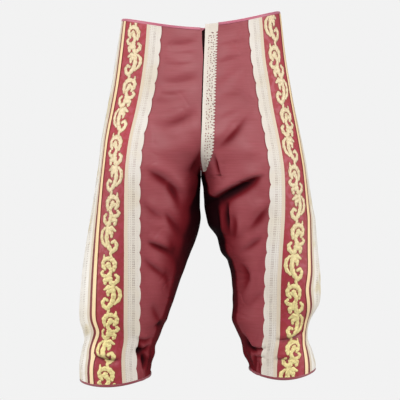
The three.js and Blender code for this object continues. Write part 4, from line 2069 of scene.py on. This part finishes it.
@dataclass
class Bindings:
    """The folded bindings round the waist and the leg openings.

    The profile's points are lengths out of the cloth and down it from its edge.
    """

    garment: Garment
    profile: tuple[Point, ...] = (
        *((0.75, 4.0), (1.15, 3.0), (1.3, 1.8), (1.1, 0.5), (0.5, -0.5), (-0.6, -0.9)),
        *((-1.7, -0.5), (-2.1, 0.6), (-2.1, 2.2), (-2.0, 4.0), (-1.95, 6.0)),
    )
    profile_width: float = 0.018
    waist_points: int = 120
    hem_points: int = 200
    waist_flat: Point = (0.019, 0.83)
    hem_flat: Point = (0.019, 0.43)

    def build(self) -> list[Piece]:
        """Makes the three bindings."""
        return [self._waist(), *(self._hem(side) for side in Side)]

    def _ring(self, form: HalfForm, row: float, t: Array, into: int) -> tuple[Array, ...]:
        """An edge that a binding is folded over.

        Args:
            form: the form of its side.
            row: the edge's row.
            t: places along it.
            into: 1 where the cloth lies above the row, and -1 where it lies below.

        Returns:
            Points of the edge, and the directions out of the cloth and into it.
        """
        rows = np.full(t.shape, row)
        point = form.cloth(rows, t)
        out = form.normal(form.cloth, rows, t)
        down = form.cloth(rows + into * form.row_step, t) - point
        return point, out, down / np.linalg.norm(down, axis=-1, keepdims=True)

    def _sweep(self, name: str, point: Array, out: Array, down: Array) -> Piece:
        """A folded sheet with the binding's profile at each point of an edge.

        Args:
            name: the piece's name.
            point: the edge's points.
            out: the direction out of the cloth at each.
            down: the direction into the cloth at each.

        Returns:
            The sheet, with no thickness yet.
        """
        points = np.stack([point + out * o + down * d for o, d in self.profile], axis=1)
        steps = np.linalg.norm(np.diff(point, axis=0), axis=1)
        along = np.concatenate([[0], steps.cumsum()]) * MM
        aside = np.linspace(0, self.profile_width, len(self.profile))
        obj = grid_piece(name, points, np.stack(np.meshgrid(aside, along), -1))
        outer = len(self.profile) // 4 * 2
        face_outwards(obj, points[:, :outer], out[len(point) // 2])
        return obj

    def _waist(self) -> Piece:
        """The binding round the waist, open at the fly.

        Returns:
            The binding.
        """
        row = np.array([0.0])
        right, left = self.garment.forms[Side.RIGHT], self.garment.forms[Side.LEFT]
        from_right = right.place(row, right.slit_edge(row)[:, None])[0, 0]
        past_lace = left.slit_edge(row) + FLY.lace + WALLS.gap
        from_left = left.place(row, past_lace[:, None])[0, 0]
        count = self.waist_points
        halves = [
            self._ring(right, 0.0, np.linspace(from_right, 1, count), -1),
            self._ring(left, 0.0, np.linspace(1, from_left, count)[1:], -1),
        ]
        point, out, down = (np.concatenate(parts) for parts in zip(*halves))
        obj = self._sweep("binding_waist", point, out, down)
        thicken(obj, WALLS.binding, 0)
        shade_smooth(obj)
        self.garment.finish_piece(obj, "pink_binding", "waist_binding", "waist_binding")
        return obj

    def _hem(self, side: Side) -> Piece:
        """The binding round one leg opening.

        Args:
            side: its side.

        Returns:
            The binding.
        """
        around = np.linspace(0, 1, self.hem_points)
        point, out, down = self._ring(self.garment.forms[side], HEIGHTS.hem, around, 1)
        point[-1], out[-1], down[-1] = point[0], out[0], down[0]
        obj = self._sweep(f"binding_hem_{side.label}", point, out, down)
        weld(obj)
        thicken(obj, WALLS.binding, 0)
        shade_smooth(obj)
        node = f"hem_binding_{side.label}"
        self.garment.finish_piece(obj, "hem_binding", "hem_binding", node)
        return obj


# ---- the embroidery


@dataclass(frozen=True)
class Stroke:
    """A stroke of the scrollwork: points across and down the band, and widths along it."""

    points: tuple[Point, ...]
    widths: tuple[float, ...]


# One scroll and the leaves below it, down to the next scroll. Across is to the viewer's right.
SCROLL = (
    Stroke(((-6, -9), (-9, -14), (-9, -18)), (6.0, 4.4, 2.6)),
    Stroke(
        ((11, 13), (12, 6), (12, -2), (8, -8), (0, -11), (-8, -8), (-11, -2), (-10, 5), (-6, 10)),
        (4.6, 7.6, 8.8, 8.6, 7.6, 7.4, 7.2, 7.0, 5.6),
    ),
    Stroke(
        ((0, 0), (2, 5), (5, 10), (5, 15), (3, 21), (4, 29), (7, 37), (10, 43)),
        (9.8, 8.6, 7.6, 6.6, 9.0, 9.6, 7.6, 5.4),
    ),
    Stroke(((-10, 4), (-5, 3), (0, 1)), (5.6, 6.4, 6.4)),
    Stroke(((0, 24), (-5, 24), (-10, 22), (-13, 18), (-10, 14)), (7.4, 7.0, 6.6, 6.0, 5.0)),
    Stroke(((0, 30), (-6, 32), (-5, 38)), (8.0, 8.0, 6.6)),
    Stroke(((5, 37), (12, 37), (17, 32), (18, 25), (14, 21)), (7.0, 7.6, 7.6, 6.6, 5.4)),
    Stroke(((9, 47), (1, 46), (-7, 50)), (8.0, 9.4, 3.4)),
    Stroke(((8, 51), (1, 55), (1, 61)), (8.0, 8.0, 5.0)),
    Stroke(((15, 45), (21, 52), (22, 62), (19, 71), (12, 78)), (4.6, 6.6, 7.0, 6.2, 4.6)),
    Stroke(
        (
            *((10, 43), (10, 51), (11, 62), (9, 72), (5, 80)),
            *((-1, 86), (-7, 82), (-9, 75), (-5, 69), (0, 71)),
        ),
        (6.0, 8.4, 9.0, 9.0, 8.4, 8.0, 7.4, 7.0, 6.4, 5.2),
    ),
    Stroke(((1, 86), (2, 91), (0, 99)), (7.0, 5.2, 5.2)),
)

SCROLL_LENGTH = 110.0
MIRROR_AT = 3.4

@dataclass
class Scrollwork:
    """Gold scrolls and leaves down each band, over a dark rim that is partly outline, partly painted
    shadow.

    Every other scroll is mirrored. A tip is the rounded end of a stroke, in shares of the
    stroke's own half width: how far it reaches, and how wide it is.
    """

    garment: Garment
    centre: float = 28.5
    spread: float = 1.12
    relief: float = 0.36
    outline: float = 2.2
    rim_height: float = 0.3
    weight: float = 1.2
    lobe: float = 0.13
    tip: Point = (0.7, 0.35)
    clear: float = 0.6
    lift: float = 0.02
    table_rows: float = 4.0
    table_columns: float = 2.0
    table_from: float = -8.0
    table_to: float = 76.0
    length: float = TRIM_CUT
    scroll_rows: dict[Side, tuple[float, ...]] = field(
        default_factory=lambda: {
            Side.RIGHT: (87, -25, -136, -249, -366, -485, -594, -696, -800),
            Side.LEFT: (42, -77, -194, -307, -421, -539, -653, -766),
        }
    )

    def build(self) -> list[Piece]:
        """Makes the embroidery of both bands.

        Returns:
            The gold and its outline and painted shadow rim, of each side.
        """
        made = []
        for side in self.garment.forms:
            gold = self._layer(side, f"scrollwork_{side.label}", 0.0, 1.0)
            ground = f"scroll_ground_{side.label}"
            # the wider dark rim under the gold: partly its outline, partly painted shadow
            shade_rim = self._layer(side, ground, self.outline, self.rim_height)
            self.garment.finish_piece(gold, "gold_embroidery", "gold_braid", None)
            self.garment.finish_piece(shade_rim, "gold_rim_shadow", "brocade", None)
            made += [gold, shade_rim]
        return made

    def _motif(self, wider: float) -> Piece:
        """One flat scroll with its leaves, in mm.

        Args:
            wider: how much wider than the gold its strokes are.

        Returns:
            A mesh of round strokes.
        """
        deselect()
        bpy.ops.curve.primitive_bezier_curve_add()
        curve = bpy.context.object.data
        curve.splines.clear()
        for stroke in SCROLL:
            spline = curve.splines.new("BEZIER")
            knots = self._blunt(stroke, wider)
            spline.bezier_points.add(len(knots) - 1)
            for knot, (u, v, radius) in zip(spline.bezier_points, knots):
                knot.co = (u, -v, 0)
                knot.radius = radius
                knot.handle_left_type = knot.handle_right_type = "AUTO"
            spline.resolution_u = 3
        curve.dimensions = "3D"
        curve.bevel_depth = 1.0
        curve.bevel_resolution = 2
        curve.use_fill_caps = True
        bpy.ops.object.convert(target="MESH")
        return bpy.context.object

    def _blunt(self, stroke: Stroke, wider: float) -> list[tuple[float, float, float]]:
        """A stroke with a knot halfway between its points and a rounded tip at each end.

        Args:
            stroke: the stroke.
            wider: how much wider than the gold it is.

        Returns:
            The knots, each with its place across and down and its radius.
        """
        steps = np.arange(2 * len(stroke.widths) - 1) / 2
        known = np.arange(len(stroke.widths))
        points = np.array(stroke.points) * (self.spread, 1.0)
        places = np.stack([np.interp(steps, known, line) for line in points.T], -1)
        places[1:-1:2] += self._bow(points)
        lobes = 1 + self.lobe * np.cos(2 * np.pi * steps)
        radii = (np.interp(steps, known, stroke.widths) * self.weight * lobes + wider) / 2
        knots = [(*place, radius) for place, radius in zip(places, radii)]
        reach, share = self.tip
        tips = []
        for end, beside in ((0, 1), (-1, -2)):
            way = places[end] - places[beside]
            way = way / np.linalg.norm(way) * radii[end] * reach
            tips.append((*(places[end] + way), radii[end] * share))
        return [tips[0], *knots, tips[1]]

    def _bow(self, points: Array) -> Array:
        """How far a smooth line through the points stands off the middle of each chord."""
        way = np.gradient(points, axis=0)
        return (way[:-1] - way[1:]) / 8

    def _cut(self, copy: Piece, top: float, bottom: float) -> None:
        """Cuts a flat copy off square, and closes it.

        Args:
            copy: the copy.
            top: the place down the motif above which it is cut off.
            bottom: the place below which it is cut off.
        """
        cut = {"use_fill": True, "clear_outer": True}
        for place, way in ((top, 1), (bottom, -1)):
            plane = {"plane_co": (0, -place, 0), "plane_no": (0, way, 0)}
            edit_all(copy, bpy.ops.mesh.bisect, **plane, **cut)

    def _layer(self, side: Side, name: str, wider: float, height: float) -> Piece:
        """Lays copies of the motif down a band.

        Args:
            side: the side.
            name: the piece's name.
            wider: how much wider than the gold the strokes are, in mm.
            height: the share of the gold's height.

        Returns:
            One mesh of all the strokes on the band.
        """
        motif = self._motif(wider)
        rows = self.scroll_rows[side]
        edge = HEIGHTS.trims + self.clear
        copies = []
        for k in range(len(rows) - 1):
            only(motif)
            bpy.ops.object.duplicate()
            copy = bpy.context.object
            pitch = (rows[k + 1] - rows[k]) / SCROLL_LENGTH
            self._cut(copy, (-edge - rows[k]) / pitch, (HEIGHTS.hem + edge - rows[k]) / pitch)
            if len(copy.data.vertices):
                self._bend(copy, side, k, height)
                copies.append(copy)
            else:
                bpy.data.objects.remove(copy)
        bpy.data.objects.remove(motif)
        deselect()
        for copy in copies:
            copy.select_set(True)
        bpy.context.view_layer.objects.active = copies[0]
        bpy.ops.object.join()
        obj = bpy.context.object
        obj.name = name
        obj.data.name = name
        shade_smooth(obj)
        return obj

    def _bend(self, copy: Piece, side: Side, k: int, height: float) -> None:
        """Lays one flat copy of the motif on its band.

        Args:
            copy: the copy.
            side: the band's side.
            k: its number down the band.
            height: the share of the gold's height.
        """
        rows = self.scroll_rows[side]
        flat = np.empty(len(copy.data.vertices) * 3)
        copy.data.vertices.foreach_get("co", flat)
        flat = flat.reshape(-1, 3)
        mirrored = k % 2 == 0
        aside = 2 * MIRROR_AT - flat[:, 0] if mirrored else flat[:, 0]
        row = rows[k] - flat[:, 1] * ((rows[k + 1] - rows[k]) / SCROLL_LENGTH)
        arc = self.centre + side.value * (aside - MIRROR_AT)
        out = WALLS.trim_face + self.lift
        out = out + np.maximum(flat[:, 2], 0.0) * self.relief * height
        points, shade = self._lay(self.garment.forms[side], row, arc, out)
        copy.data.vertices.foreach_set("co", (points * MM).ravel())
        copy.data.update()
        # the satin's painted shade, carried over the gold
        paint(copy, shade)
        if mirrored != (side is Side.RIGHT):
            edit_all(copy, bpy.ops.mesh.flip_normals)

    def _lay(self, form: HalfForm, row: Array, arc: Array, out: Array) -> tuple[Array, Array]:
        """Places scattered points on the band, by a table of places round the leg.

        Args:
            form: the side's form.
            row: the points' rows.
            arc: their lengths past the lace's edge.
            out: how far they stand out from the satin.

        Returns:
            The points in mm, and the satin's shade at each.
        """
        down, aside = self.table_rows, self.table_columns
        rows = rows_up(down)
        offsets = np.arange(self.table_from, self.table_to, aside)
        lengths = offsets + np.zeros((len(rows), 1))
        drawn = form.drawn(rows, lengths)
        table = form.place(rows, form.trim_arc(rows)[:, None] + lengths + drawn)
        i = np.clip(((row - rows[0]) / down).astype(int), 0, len(rows) - 2)
        j = np.clip(((arc - offsets[0]) / aside).astype(int), 0, len(offsets) - 2)
        a, b = (row - rows[i]) / down, (arc - offsets[j]) / aside
        top = table[i, j] * (1 - b) + table[i, j + 1] * b
        low = table[i + 1, j] * (1 - b) + table[i + 1, j + 1] * b
        t = top * (1 - a) + low * a
        return form.layer(row, t, out), form.shade(row, t)


# ---- the set


@dataclass(frozen=True)
class Softbox:
    """A large soft light: its name, place in metres and power in watts."""

    name: str
    place: tuple[float, float, float]
    power: float


@dataclass
class Studio:
    """The camera, the soft lights and the pale floor. Lengths are in metres."""

    distance: float = 3.2
    view_width: float = 0.8
    view_centre: Point = (-0.002, -0.36)
    sensor: float = 36.0
    floor_height: float = -1.15
    floor_size: float = 5.2
    floor_tones: tuple[Colour, Colour] = (linear(236, 236, 236), linear(240, 240, 240))
    lamp_size: float = 1.3
    light_spread: float = 70.0
    lamps: tuple[Softbox, ...] = (
        Softbox("key_light", (-0.1, -2.9, 1.4), 16.5),
        Softbox("left_light", (2.7, -0.6, 0.1), 9.6),
        Softbox("right_light", (-2.7, -0.6, 0.1), 9.4),
        Softbox("back_light", (0.0, 2.4, 2.4), 9.5),
    )
    backdrop: Colour = linear(242, 242, 242)
    fill: float = 0.07

    def camera(self) -> None:
        """Sets the camera square on to the front at the garment's middle height."""
        x, z = self.view_centre
        deselect()
        bpy.ops.object.camera_add(location=(x, -self.distance, z), rotation=(math.pi / 2, 0, 0))
        camera = bpy.context.object
        camera.name = "camera_front"
        camera.data.sensor_width = self.sensor
        camera.data.lens = self.sensor * self.distance / self.view_width
        bpy.context.scene.camera = camera

    def floor(self) -> None:
        """Lays a plain pale floor."""
        deselect()
        place = (0, 0, self.floor_height)
        bpy.ops.mesh.primitive_plane_add(size=self.floor_size, location=place)
        floor = bpy.context.object
        floor.name = "pale_floor"
        material, nodes, shader = new_material("pale_floor")
        tone = nodes.noise(object_places(nodes), 3.0, 2.0)
        nodes.feed(shader, {"Base Color": nodes.mix(tone, *self.floor_tones), "Roughness": 0.9})
        dress(floor, material)

    def softbox(self, lamp: Softbox) -> None:
        """Adds a light, aimed at the garment's middle.

        Args:
            lamp: the light.
        """
        deselect()
        bpy.ops.object.light_add(type="AREA", location=lamp.place)
        light = bpy.context.object
        light.name = lamp.name
        light.data.shape = "SQUARE"
        light.data.size = self.lamp_size
        light.data.energy = lamp.power
        light.data.spread = math.radians(self.light_spread)
        x, y, z = lamp.place
        aim = np.array([-x, -y, self.view_centre[1] - z])
        tilt = math.atan2(aim[2], math.hypot(aim[0], aim[1]))
        light.rotation_euler = (math.pi / 2 + tilt, 0, math.atan2(-aim[0], aim[1]))

    def sky(self) -> None:
        """Sets a plain backdrop for the eye, and a weaker one for the light."""
        world = bpy.context.scene.world or bpy.data.worlds.new("studio")
        bpy.context.scene.world = world
        world.use_nodes = True
        nodes = Nodes(world.node_tree)
        seen = nodes.add("ShaderNodeBackground")
        nodes.feed(seen, {0: self.backdrop})
        lit = nodes.add("ShaderNodeBackground")
        nodes.feed(lit, {0: (1.0, 1.0, 1.0, 1.0), 1: self.fill})
        ray = nodes.add("ShaderNodeLightPath").outputs["Is Camera Ray"]
        mix = nodes.add("ShaderNodeMixShader")
        nodes.feed(mix, {0: ray, 1: lit.outputs[0], 2: seen.outputs[0]})
        nodes.feed(world.node_tree.nodes["World Output"], {0: mix.outputs[0]})

    def build(self) -> None:
        """Sets the whole studio."""
        bpy.context.scene.view_settings.view_transform = "Standard"
        self.camera()
        self.floor()
        for lamp in self.lamps:
            self.softbox(lamp)
        self.sky()


def main() -> None:
    """Builds the studio and then the breeches, from the satin outwards."""
    logging.basicConfig(level=logging.INFO, format="%(message)s")
    Studio().build()
    garment = Garment(build_forms(), build_finishes())
    for assembly in (
        SatinPanels(garment),
        Trims(garment),
        FlyPieces(garment),
        Bindings(garment),
        Scrollwork(garment),
    ):
        pieces = assembly.build()
        log.info("%s: %s", type(assembly).__name__, ", ".join(o.name for o in pieces))


if __name__ == "__main__":
    main()
